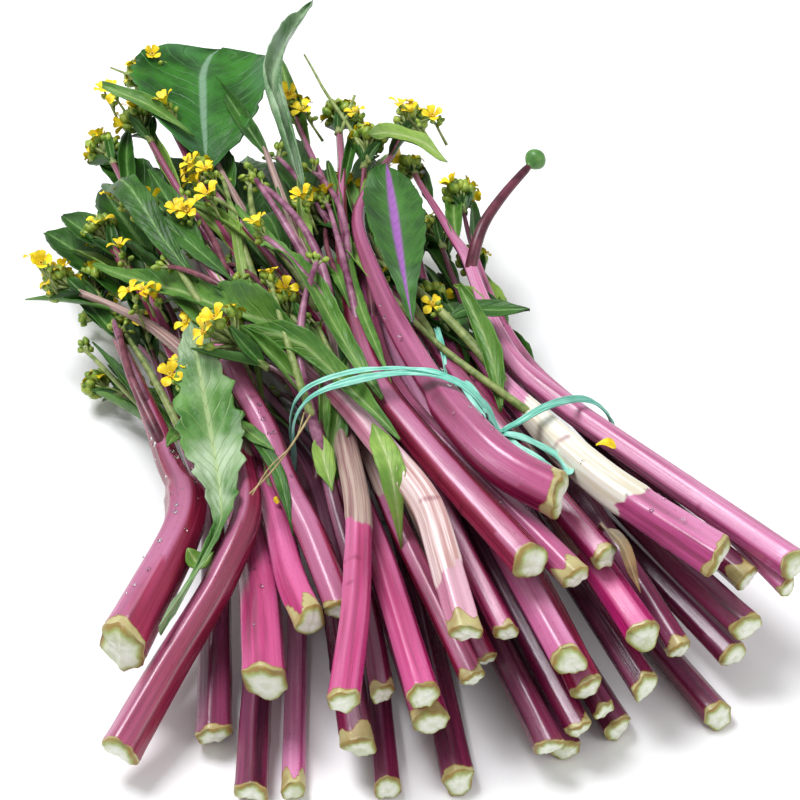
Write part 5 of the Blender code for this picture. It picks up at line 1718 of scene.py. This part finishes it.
@dataclass
class TieRibbon:
    """The plastic tie: a thin ribbon, gathered in lengthwise folds, that goes round the bunch into a bow.

    Args:
        node: the tie's solid.
        terrain: the height of the stems.
        columns: how many places it has across.
        half: its half width.
        fold: how deep its folds are.
        thickness: how thick it is.
        step: how far apart its rows are.
        lift: how far its middle is above the stems.
        strands: how far each strand lies beside the waist's line on the upper left.
        knot_radius: the radius of the turns about the knot.
    """

    node: str
    terrain: Terrain
    columns: int = 11
    half: float = 1.7 * MM
    fold: float = 0.42 * MM
    thickness: float = 0.22 * MM
    step: float = 1.0 * MM
    lift: float = 1.1 * MM
    strands: tuple = (1.6 * MM, -4.6 * MM)
    knot_radius: float = 2.0 * MM

    def build(self) -> bmesh.types.BMesh:
        """Lay two strands round the waist, the bow and the knot."""
        bm = bmesh.new()
        for index, shift in enumerate(self.strands):
            self._strip(bm, *self._waist(shift), np.array([1.0, 0.8, 1.0, 0.75, 1.0]) * self.half, 5 + index)
        for index, (path, halves) in enumerate(BOW):
            line = eased(np.array(path, float) * MM, 60, 12, 60)
            level = self.terrain.height(line) + self.lift + 0.5 * MM * (index == 0)
            for _ in range(60):
                level[1:-1] = np.maximum(level[1:-1], 0.5 * (level[:-2] + level[2:]))
            level = smoothed(level[:, None], 10)
            upward = np.tile((0.0, 0.0, 1.0), (60, 1))
            self._strip(bm, np.hstack([line, level]), upward, np.array(halves) * MM, 20 + index)
        self._knot(bm)
        return bm

    def _waist(self, shift: float) -> tuple[np.ndarray, np.ndarray]:
        """One strand's places round the bunch, and the way out from the bunch at each.

        Args:
            shift: how far the strand lies beside the waist's line on the upper left.

        Returns:
            The places and the directions.
        """
        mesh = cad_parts[self.node].data
        faces = [face.vertices[:] for face in mesh.polygons]
        tree = BVHTree.FromPolygons([vert.co for vert in mesh.vertices], faces)
        low, high = (np.array(corner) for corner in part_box(self.node))
        middle = np.array([0.5 * (low[0] + high[0]), 0.0, 0.4 * (low[2] + high[2])])
        knot = np.array([*KNOT, 0.0]) * MM
        knot[2] = float(self.terrain.height(knot[:2])) + self.lift
        knot_turn = math.degrees(math.atan2(knot[2] - middle[2], knot[0] - middle[0]))
        angles, places = [], []
        for degrees in (*range(-270, 31, 5), 90):
            angle = math.radians(degrees)
            out = np.array([math.cos(angle), 0.0, math.sin(angle)])
            y = np.interp((degrees + 30) % 360 - 30, *np.array(WAIST).T) * MM
            starts = [Vector(middle + 0.3 * out + (0, y + beside * MM, 0)) for beside in (-6, -3, 0, 3, 6)]
            hits = [tree.ray_cast(start, Vector(-out))[0] for start in starts]
            reach = [(np.array(hit) - middle) @ out for hit in hits if hit is not None]
            if reach:
                angles.append(degrees)
                places.append(max(reach))
        angles.insert(-1, knot_turn)
        places.insert(-1, float(np.hypot(knot[0] - middle[0], knot[2] - middle[2])))
        turn = np.linspace(knot_turn - 360, knot_turn, 220)
        radius = np.interp((turn + 270) % 360 - 270, angles, places)
        radius = smoothed(radius[:, None], 6)[:, 0]
        wrapped = (turn + 30) % 360 - 30
        y = smoothed(np.interp(wrapped, *np.array(WAIST).T)[:, None], 8)[:, 0] * MM
        y = y + shift * np.exp(-(((turn % 360 - 145) / 38) ** 2))
        outward = np.stack([np.cos(np.radians(turn)), np.zeros(220), np.sin(np.radians(turn))], 1)
        line = middle + radius[:, None] * outward
        line[:, 1] = y
        high_side = np.abs(wrapped - 70) < 45
        ground = self.terrain.height(line[:, :2]) + self.lift
        line[:, 2] = np.where(high_side, np.maximum(line[:, 2], ground), line[:, 2])
        return smoothed(line, 6), outward

    def _strip(self, bm: bmesh.types.BMesh, line: np.ndarray, outward: np.ndarray, halves: np.ndarray,
               seed: int) -> None:
        """Add one length of ribbon, gathered in folds that wander along it.

        Args:
            bm: the mesh that it is added to.
            line: its middle line.
            outward: the way that its face looks at each place.
            halves: its half widths from end to end.
            seed: what its folds start from.
        """
        draw = random.Random(seed)
        length = float(runs_along(line)[-1])
        count = max(8, round(length / self.step))
        rows = resampled(np.hstack([line, outward]), count)
        line, outward = rows[:, :3], rows[:, 3:]
        along = headings(line)
        across = np.cross(along, outward)
        across /= np.linalg.norm(across, axis=1)[:, None]
        out = np.cross(across, along)
        share, spots = np.linspace(0, 1, count), np.linspace(-1, 1, self.columns)
        half = np.interp(share, np.linspace(0, 1, len(halves)), halves)
        waves = [(draw.uniform(5, 15) * length / 0.06, draw.uniform(0, 6)) for _ in range(3)]
        sway = sum(np.sin(rate * share + start) for rate, start in waves) / 3
        half = half * (1 + 0.16 * sway)
        fold = self.fold * np.sin(5.5 * spots[None] + 2.2 * sway[:, None] + draw.uniform(0, 6))
        fold = fold + 0.5 * self.fold * np.sin(11 * spots[None] - 3 * sway[:, None])
        tilt = 0.35 * np.sin(0.5 * waves[0][0] * share)
        flat = np.cos(tilt)[:, None] * across + np.sin(tilt)[:, None] * out
        surface = line[:, None] + (half[:, None] * spots)[..., None] * flat[:, None]
        surface = surface + fold[..., None] * out[:, None]
        part = bmesh.new()
        lay_grid(part, surface, spots, share * length * 10)
        bmesh.ops.solidify(part, geom=part.faces[:], thickness=self.thickness)
        bmesh.ops.recalc_face_normals(part, faces=part.faces)
        absorb(bm, part, 0)

    def _knot(self, bm: bmesh.types.BMesh) -> None:
        """Add three small turns of ribbon about the middle of the bow.

        Args:
            bm: the mesh that they are added to.
        """
        x, y = np.array(KNOT) * MM
        middle = np.array([x, y, float(self.terrain.height(np.array([x, y]))) + self.lift + 0.8 * MM])
        turn = np.linspace(0, 2 * math.pi + 0.4, 24)
        for index, heading in enumerate((0.3, 1.1, 2.4)):
            flat = np.array([math.cos(heading), math.sin(heading), 0.0])
            outward = np.outer(np.cos(turn), flat) + np.outer(np.sin(turn), (0.0, 0.0, 1.0))
            radius = self.knot_radius * (1 - 0.12 * index)
            line = middle + radius * outward * np.array([1.15, 1.15, 0.85])
            self._strip(bm, line, outward, np.array([1.5, 1.2, 1.5]) * MM, 40 + index)


@dataclass
class SideBranch:
    """The thin side branch that ends in a round bud.

    Args:
        trace: the stem that it grows from.
        ball: the middle of the round bud.
        radius: the round bud's radius.
        start_y: where on the stem it starts.
        sides: how many sides its mesh has.
        bends: how far its bends have come from the stem to the bud, along each axis.
    """

    trace: StemTrace
    ball: np.ndarray
    radius: float
    start_y: float = 19 * MM
    sides: int = 16
    bends: tuple = ((0.0, 0.0, 0.0), (0.10, 0.16, 0.40), (0.24, 0.36, 0.60), (0.60, 0.69, 0.82), (1.0, 1.0, 1.0))

    def path(self, count: int) -> np.ndarray:
        """Places along the branch.

        Args:
            count: how many are wanted.

        Returns:
            The places.
        """
        root = self.trace.line[np.abs(self.trace.line[:, 1] - self.start_y).argmin()]
        knots = root + np.array(self.bends) * (self.ball - root)
        return eased(knots, 60, 60, count)

    def build(self) -> bmesh.types.BMesh:
        """Sweep the branch, and swell its end to the pear-shaped bud."""
        path = self.path(40)
        along = unit(path[-1] - path[-3])
        steps = np.linspace(0, 1, 14)[1:]
        bulb = path[-1] - self.radius * along + np.outer(steps * 2.0 * self.radius, along)
        stretch = np.vstack([path[:-3], bulb])
        thin = np.linspace(2.9 * MM, 1.9 * MM, len(path) - 3)
        swell = self.radius * np.sqrt(np.clip(1 - ((steps - 0.56) / 0.5) ** 2, 0.02, 1))
        swell = swell * np.clip(0.45 + steps, 0, 1)
        sizes = smoothed(np.append(thin, swell)[:, None], 2)[:, 0]
        bm, last = bmesh.new(), None
        for index, (place, size, way) in enumerate(zip(stretch, sizes, headings(stretch))):
            side = unit(np.cross(way, (0, 0, 1.0)))
            last, faces = next_ring(bm, last, ring_places(place, size, side, np.cross(side, way), self.sides))
            for face in faces:
                face.material_index = int(index > len(path) - 3)
        bm.faces.new(last).material_index = 1
        bmesh.ops.recalc_face_normals(bm, faces=bm.faces)
        return bm


# Leaves laid over the stems: the kind, the midrib in plan and the half widths, in millimetres
LAID_LEAVES: list[tuple[LeafKind, list[tuple], list[float]]] = [
    (LeafKind.FRESH, [(-37, 5), (-36, 47), (-33, 96)], [1, 2, 2.5, 2, 0.8]),
    (LeafKind.NARROW, [(-49, -14), (-61, 13), (-69, 40), (-76, 55)], [1.5, 5, 6, 4, 1.5]),
    (LeafKind.NARROW, [(-15, -58), (-19, -28), (-23, 3)], [1.5, 3.5, 3, 1]),
    (LeafKind.NARROW, [(2, -61), (3, -9), (6, 22), (13, 52)], [1, 2.4, 2.6, 2, 0.8]),
    (LeafKind.NARROW, [(-1, -5), (1, 29), (3, 61)], [1, 2.5, 2, 0.8]),
    (LeafKind.BROAD, [(44, -34), (47, 6), (46, 36)], [1.5, 4, 5, 3, 1]),
    (LeafKind.BROAD, [(9, 50), (6, 78), (6, 102)], [1, 4, 5, 2]),
    (LeafKind.BROAD, [(-51, -105), (-50, -77), (-58, -41)], [0.8, 2.5, 2.8, 2, 0.8]),
    (LeafKind.NARROW, [(-49, -67), (-56, -53), (-61, -39)], [1, 3, 3.5, 1]),
    (LeafKind.FRESH, [(-32, -95), (-32, -82), (-31, -69)], [1, 4, 4.5, 2]),
    (LeafKind.FRESH, [(-11, -123), (-10, -100), (-11, -79)], [2, 5, 5.5, 2]),
    (LeafKind.FRESH, [(-83, -102), (-90, -106), (-93, -100)], [1, 3.5, 4, 3]),
    (LeafKind.NARROW, [(-76, -38), (-82, -32), (-90, -44)], [1, 2.5, 3, 2.5, 1]),
    (LeafKind.BROAD, [(-45, 22), (-59, 53), (-72, 79)], [1, 4, 5, 4, 1]),
    (LeafKind.BROAD, [(-14, 49), (-18, 85), (-20, 105)], [2, 6, 7, 4]),
    (LeafKind.DRY, [(64, -141), (69, -158), (72, -172)], [2, 3.5, 3, 1]),
]
# Leaves low among the stems: the base, the heading in degrees, the length and the half width, in millimetres
UNDER_LEAVES: list[tuple[float, ...]] = [
    (-80, 70, 38, -22, 75, 15), (-66, 85, 40, -14, 80, 16), (-50, 95, 42, -10, 80, 17), (-34, 95, 44, -6, 78, 16),
    (-18, 90, 44, -2, 75, 15), (-2, 85, 44, 4, 70, 15), (14, 80, 42, 8, 66, 14), (30, 70, 40, 10, 62, 13),
    (46, 62, 36, 14, 55, 12), (-88, 40, 38, -22, 44, 9), (-90, 12, 36, -24, 26, 5), (-60, 110, 56, -16, 60, 10),
    (-28, 112, 58, -8, 60, 10), (6, 100, 56, 2, 58, 9), (-84, 86, 52, -28, 48, 10), (36, 86, 52, 6, 50, 9),
]


@dataclass
class Foliage:
    """The smaller leaves of the bunch: some laid over the stems, and many that grow from the stems' upper halves.

    Args:
        traces: the stems by name.
        terrain: the height of the stems.
        kinds: the kinds that grow from the stems.
        shares: how often each kind is drawn.
        per_stem: how many grow from each stem.
        low_share: how far along the stem the first may grow.
        high_share: the same for the last.
        edge: how far their tips stay inside the frame's box.
    """

    traces: dict[str, StemTrace]
    terrain: Terrain
    kinds: tuple = (LeafKind.BROAD, LeafKind.NARROW, LeafKind.FRESH)
    shares: tuple = (0.64, 0.26, 0.10)
    per_stem: int = 3
    low_share: float = 0.5
    high_share: float = 0.97
    edge: float = 4 * MM

    def build(self, workshop: "Workshop") -> None:
        """Make one piece of each kind of leaf.

        Args:
            workshop: makes the pieces.
        """
        groups = {kind: bmesh.new() for kind in (*self.kinds, LeafKind.DRY)}
        for kind, path, halves in LAID_LEAVES:
            shape = self.terrain.lay(path, halves, 9, 1.2 * MM, 2 * MM)
            LeafBlade(shape, 0.35 * MM, 0.25 * MM, 0.35 * MM, 0.06, len(path)).add_to(groups[kind])
        draw = random.Random(7)
        for x, y, z, heading, length, half in UNDER_LEAVES:
            way = unit(np.array([math.sin(math.radians(heading)), math.cos(math.radians(heading)), 0.03]))
            base = np.array([x, y, z]) * MM
            side = np.array([way[1], -way[0], draw.uniform(-0.3, 0.3)])
            shape = free_leaf(base, way, side, length * MM, half * MM, 0.08, 11, draw.uniform(-0.1, 0.1), 0.2)
            blade = LeafBlade(shape, 0.5 * MM, 0.4 * MM, 0.4 * MM, 0.06, draw.randrange(1000), 0.15)
            blade.add_to(groups[LeafKind.BROAD])
        for trace in self.traces.values():
            for index in range(self.per_stem):
                span = self.high_share - self.low_share
                share = self.low_share + span * (index + draw.random()) / self.per_stem
                kind = draw.choices(self.kinds, self.shares)[0]
                seed = draw.randrange(1000)
                fold = draw.uniform(0.1, 1.0)
                blade = LeafBlade(self._grown(trace, share, draw), 0.4 * MM, 0.3 * MM, 0.35 * MM, 0.08, seed, fold)
                blade.add_to(groups[kind])
        for kind, bm in groups.items():
            workshop.piece(f"foliage_{kind.value}", bm, [KIND_FINISHES[kind]])

    def _grown(self, trace: StemTrace, share: float, draw: random.Random) -> BladeShape:
        """A leaf that grows from a stem, inside the frame's box.

        Args:
            trace: the stem.
            share: how far along it the leaf grows.
            draw: what its size and bends are drawn from.

        Returns:
            The shape.
        """
        place, way, radius = trace.at(share)
        flat = np.array([-way[1], way[0], 0.0])
        turn = draw.choice((-1, 1)) * draw.uniform(0.03, 0.28)
        lift = draw.uniform(-0.08, 0.07)
        heading = unit(way + turn * flat + np.array([0, 0, lift]))
        length, half = draw.uniform(35, 75) * MM, draw.uniform(2.8, 6.2) * MM
        low, high = inner_box(self.edge)
        for _ in range(12):
            tip = place + length * heading
            if (tip[:2] > low[:2]).all() and (tip < high).all():
                break
            length *= 0.85
        side = flat + np.array([0, 0, draw.uniform(-0.7, 0.7)])
        base = place + draw.uniform(-0.9, 0.5) * radius * np.array([0, 0, 1.0])
        droop, bend, twist = draw.uniform(0.02, 0.2), draw.uniform(-0.14, 0.14), draw.uniform(-1.1, 1.1)
        return free_leaf(base, heading, side, length, min(half, 0.2 * length), droop, 7, bend, twist)


@dataclass
class Shoots(FlowerParts):
    """Thin flowering side shoots that leave the stems in their upper halves and end in a few buds.

    Args:
        traces: the stems by name.
        per_stem: how many grow from each stem.
        right_edge: where the stems end whose shoots would stand clear of the bunch.
        edge: how far they stay inside the frame's box.
        low: their radius where they start.
        high: their radius at the tip.
    """

    traces: dict[str, StemTrace] | None = None
    per_stem: int = 2
    right_edge: float = 52 * MM
    edge: float = 6 * MM
    low: float = 2.3 * MM
    high: float = 1.1 * MM

    def build(self) -> bmesh.types.BMesh:
        """Grow the shoots of every stem but those at the right edge."""
        draw = random.Random(23)
        bm = bmesh.new()
        for trace in self.traces.values():
            for _ in range(self.per_stem if trace.line[-1][0] < self.right_edge else 0):
                line = self._path(trace, draw)
                size = draw.uniform(0.75, 1.15)
                paint = draw.choice((5, 5, 4, 1))
                add_swept(bm, line, size * np.linspace(self.low, self.high, len(line)), 8, paint)
                self._top(bm, Vector(line[-1]), Vector(line[-1] - line[-3]).normalized(), draw)
        return bm

    def _path(self, trace: StemTrace, draw: random.Random) -> np.ndarray:
        """A shoot's middle line, inside the frame's box.

        Args:
            trace: the stem that it leaves.
            draw: what its place, length and bend are drawn from.

        Returns:
            The line.
        """
        place, way, radius = trace.at(draw.uniform(0.42, 0.72))
        flat = np.array([-way[1], way[0], 0.0])
        heading = unit(way + draw.uniform(-0.16, 0.16) * flat + np.array([0, 0, draw.uniform(-0.02, 0.06)]))
        low, high = inner_box(self.edge)
        length = draw.uniform(60, 110) * MM
        while not ((place + length * heading)[:2] > low[:2]).all() or not (place + length * heading < high).all():
            length *= 0.9
        share = np.linspace(0, 1, 16)
        bend = draw.uniform(-0.1, 0.1) * length * np.sin(math.pi * share)
        line = place + np.outer(share * length, heading) + np.outer(bend, flat)
        line[:, 2] += (radius + 3 * MM) * np.sin(math.pi * share) ** 0.7
        return line

    def _top(self, bm: bmesh.types.BMesh, end: Vector, way: Vector, draw: random.Random) -> None:
        """Add a few buds, and now and then a flower, at a shoot's end.

        Args:
            bm: the mesh that they are added to.
            end: the shoot's end.
            way: the shoot's direction there.
            draw: what they are drawn from.
        """
        for _ in range(draw.randint(5, 9)):
            out = (way + 0.75 * Vector([draw.uniform(-1, 1) for _ in range(3)])).normalized()
            place = end + draw.uniform(2.5, 5.5) * MM * out
            self.stalk(bm, end - 2 * MM * way, place, 0.6 * MM, 0.45 * MM)
            self.bud(bm, place, out, draw.uniform(1.0, 1.7) * MM, draw.uniform(3.4, 5.0) * MM)
        if draw.random() < 0.3:
            out = (way + Vector((0, 0, 1))).normalized()
            self.flower(bm, end + 5 * MM * out, out, draw)


@dataclass
class Dew:
    """Drops of water on the stems.

    Args:
        traces: the stems by name.
        wet: the stems that carry drops, and how many.
        flatness: the height of a drop as a share of its width.
    """

    traces: dict[str, StemTrace]
    wet: tuple = (
        ("stem_33", 26), ("stem_38", 20), ("stem_06", 12), ("stem_03", 10), ("stem_36", 8), ("stem_05", 8))
    flatness: float = 0.5

    def build(self) -> bmesh.types.BMesh:
        """Set flattened drops on the upper sides of a few stems."""
        draw = random.Random(3)
        bm = bmesh.new()
        for name, count in self.wet:
            trace = self.traces[name]
            for _ in range(count):
                place, way, radius = trace.at(draw.uniform(0.06, 0.5))
                side = unit(np.cross(way, (0, 0, 1.0)))
                up = np.cross(side, way)
                angle = draw.uniform(0.35, 2.5)
                out = math.cos(angle) * side + math.sin(angle) * up
                size = draw.uniform(0.45, 1.15) * MM
                turn = Vector((0, 0, 1)).rotation_difference(Vector(out)).to_matrix().to_4x4()
                matrix = Matrix.Translation(Vector(place + 0.96 * radius * out)) @ turn
                matrix = matrix @ Matrix.Diagonal((1, 1, self.flatness, 1))
                bmesh.ops.create_icosphere(bm, subdivisions=2, radius=size, matrix=matrix)
        return bm


@dataclass(frozen=True)
class DewFinish:
    """Clear water."""

    name: str = "dew"

    def make(self) -> bpy.types.Material:
        """Build the material."""
        sheet = Sheet(self.name)
        clouds = sheet.noise(sheet.place(), 300.0)
        colour = sheet.ramp(clouds, [(0.3, (0.92, 0.94, 0.96)), (0.7, (1.0, 1.0, 1.0))])
        sheet.shader.inputs["Transmission Weight"].default_value = 1.0
        sheet.shader.inputs["IOR"].default_value = 1.33
        return sheet.finish(colour, 0.03, gloss=0.6)


# Where a leaf sheath wraps a stem, and where and to what share a stem narrows. WHOLE stands for neither.
WHOLE = (1.0, 1.0)
SHEATHS: dict[str, tuple[float, float]] = {
    "stem_01": (90 * MM, 1.0),
    "stem_02": (30 * MM, 90 * MM),
    "stem_06": (44 * MM, 110 * MM),
    "stem_09": (100 * MM, 1.0),
    "stem_13": (30 * MM, 1.0),
    "stem_18": (52 * MM, 130 * MM),
    "stem_22": (45 * MM, 120 * MM),
    "stem_34": (150 * MM, 1.0),
}
NECKS: dict[str, tuple[float, float]] = {"stem_03": (0.24, 0.76), "stem_08": (0.30, 0.78), "stem_33": (0.36, 0.68)}


def add_branch(workshop: Workshop, traces: dict[str, StemTrace]) -> None:
    """Build the side branch with its round bud.

    Args:
        workshop: makes the piece.
        traces: the stems by name.
    """
    low, high = (np.array(corner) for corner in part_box("round_bud"))
    branch = SideBranch(traces[BRANCH_STEM], 0.5 * (low + high), 0.5 * float(high[2] - low[2]))
    workshop.piece("side_branch", branch.build(), [TWIG, BALL], "round_bud")


def add_camera() -> None:
    """Look at the waist of the bunch as the photograph does."""
    level = math.cos(VIEW_RISE)
    away = Vector((math.sin(VIEW_TURN) * level, -math.cos(VIEW_TURN) * level, math.sin(VIEW_RISE)))
    data = bpy.data.cameras.new("camera")
    data.lens, data.sensor_width = LENS_MM, SENSOR_MM
    data.clip_start, data.clip_end = 0.01, 20.0
    camera = bpy.data.objects.new("camera", data)
    camera.location = AIM + VIEW_DISTANCE * away
    camera.rotation_euler = (-away).to_track_quat("-Z", "Y").to_euler()
    bpy.context.scene.collection.objects.link(camera)
    bpy.context.scene.camera = camera


def add_light(name: str, place: tuple, size: float, power: float, colour: tuple) -> None:
    """A soft square light that faces the bunch.

    Args:
        name: the light's name.
        place: where it is, in metres.
        size: the length of its sides.
        power: its power in watts.
        colour: its colour.
    """
    data = bpy.data.lights.new(name, "AREA")
    data.shape, data.size, data.energy, data.color = "SQUARE", size, power, colour
    light = bpy.data.objects.new(name, data)
    light.location = place
    light.rotation_euler = (Vector((0, 0, 0.05)) - Vector(place)).to_track_quat("-Z", "Y").to_euler()
    bpy.context.scene.collection.objects.link(light)


def add_stage(workshop: Workshop) -> None:
    """Set up the pale floor, the soft sky and the lights.

    Args:
        workshop: makes the floor's finish.
    """
    bm = bmesh.new()
    bmesh.ops.create_grid(bm, x_segments=1, y_segments=1, size=6.0)
    bmesh.ops.translate(bm, verts=bm.verts, vec=(0, 0, -0.3 * MM))
    mesh = bpy.data.meshes.new("floor")
    bm.to_mesh(mesh)
    bm.free()
    mesh.materials.append(workshop.material(FLOOR))
    floor = bpy.data.objects.new("floor", mesh)
    bpy.context.scene.collection.objects.link(floor)
    world = bpy.data.worlds.new("sky")
    world.use_nodes = True
    sky = world.node_tree.nodes["Background"]
    sky.inputs[0].default_value = (1.0, 1.0, 1.0, 1.0)
    sky.inputs[1].default_value = 0.55
    bpy.context.scene.world = world
    bpy.context.scene.view_settings.view_transform = "Standard"
    add_light("window_light", (-0.45, 0.35, 1.35), 0.6, 21.0, (0.96, 0.96, 1.0))
    add_light("fill_light", (0.9, -1.1, 0.9), 0.9, 6.0, (0.97, 0.98, 1.0))


def add_stems(workshop: Workshop) -> dict[str, StemTrace]:
    """Trace and build every stem.

    Args:
        workshop: makes the pieces.

    Returns:
        The traces by node.
    """
    traces = {}
    for name in sorted(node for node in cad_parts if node.startswith("stem_")):
        number = int(name[-2:])
        tone = STEM_TONES.get(name, StemTone.DARK)
        traces[name] = StemTrace(name)
        stem = RibbedStem(traces[name], number, *SHEATHS.get(name, WHOLE), NECKS.get(name, WHOLE))
        workshop.piece(f"stalk_{number:02d}", stem.build(), [TONE_FINISHES[tone], CutFinish()], name)
    return traces


def add_heads(workshop: Workshop, traces: dict[str, StemTrace]) -> None:
    """Build a bud head at the end of every stem but the bare one.

    Args:
        workshop: makes the pieces.
        traces: the stems by name.
    """
    finishes = [BUD, PEDICEL, PETAL, STAMEN, KIND_FINISHES[LeafKind.BROAD]]
    for name, trace in traces.items():
        if name == BARE_STEM:
            continue
        number = int(name[-2:])
        node = f"head_{number:02d}" if name in OWN_HEADS else None
        radius, length = trace.room(node or name)
        flowers = RICH_HEADS.get(name, 2 + number % 3)
        head = BudHead(trace=trace, radius=radius, length=length, number=number, flowers=flowers)
        workshop.piece(f"buds_{number:02d}", head.build(), finishes, node)


# How deep the edge of a leaf is lobed and how far its halves fold up, where it is not as usual
LEAF_LOBES = {LeafKind.MOTTLED: 0.22}
LEAF_FOLDS = {LeafKind.ROLLED: 1.0, LeafKind.NARROW: 0.4, LeafKind.VIOLET_RIB: 0.25}


def add_leaves(workshop: Workshop) -> None:
    """Trace and build every leaf.

    Args:
        workshop: makes the pieces.
    """
    for name in sorted(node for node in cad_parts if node.startswith("leaf_")):
        kind = LEAF_KINDS.get(name, LeafKind.NARROW)
        bm = bmesh.new()
        lobes = LEAF_LOBES.get(kind, 0.05)
        fold = LEAF_FOLDS.get(kind, 0.1)
        shape = LeafTrace(name).shape(21)
        blade = LeafBlade(shape, 0.45 * MM, 0.4 * MM, lobes=lobes, seed=int(name[-2:]), fold=fold)
        blade.add_to(bm)
        workshop.piece(f"blade_{name[-2:]}", bm, [KIND_FINISHES[kind]], name)


def main() -> None:
    """Build the whole picture."""
    logging.basicConfig(level=logging.INFO, format="%(message)s")
    add_camera()
    workshop = Workshop()
    traces = add_stems(workshop)
    add_branch(workshop, traces)
    add_heads(workshop, traces)
    add_leaves(workshop)
    terrain = Terrain(list(traces.values()))
    Foliage(traces, terrain).build(workshop)
    blossoms = Blossoms(terrain=terrain).build()
    workshop.piece("blossoms", blossoms, [BUD, PEDICEL, PETAL, STAMEN, STRAW])
    shoots = Shoots(traces=traces).build()
    workshop.piece("side_shoots", shoots, [BUD, PEDICEL, PETAL, STAMEN, LILAC_SHOOT, SHOOT])
    workshop.piece("dew_drops", Dew(traces).build(), [DewFinish()])
    workshop.piece("tie_ribbon", TieRibbon("tie", terrain).build(), [TieFinish()], "tie")
    add_stage(workshop)


if __name__ == "__main__":
    main()
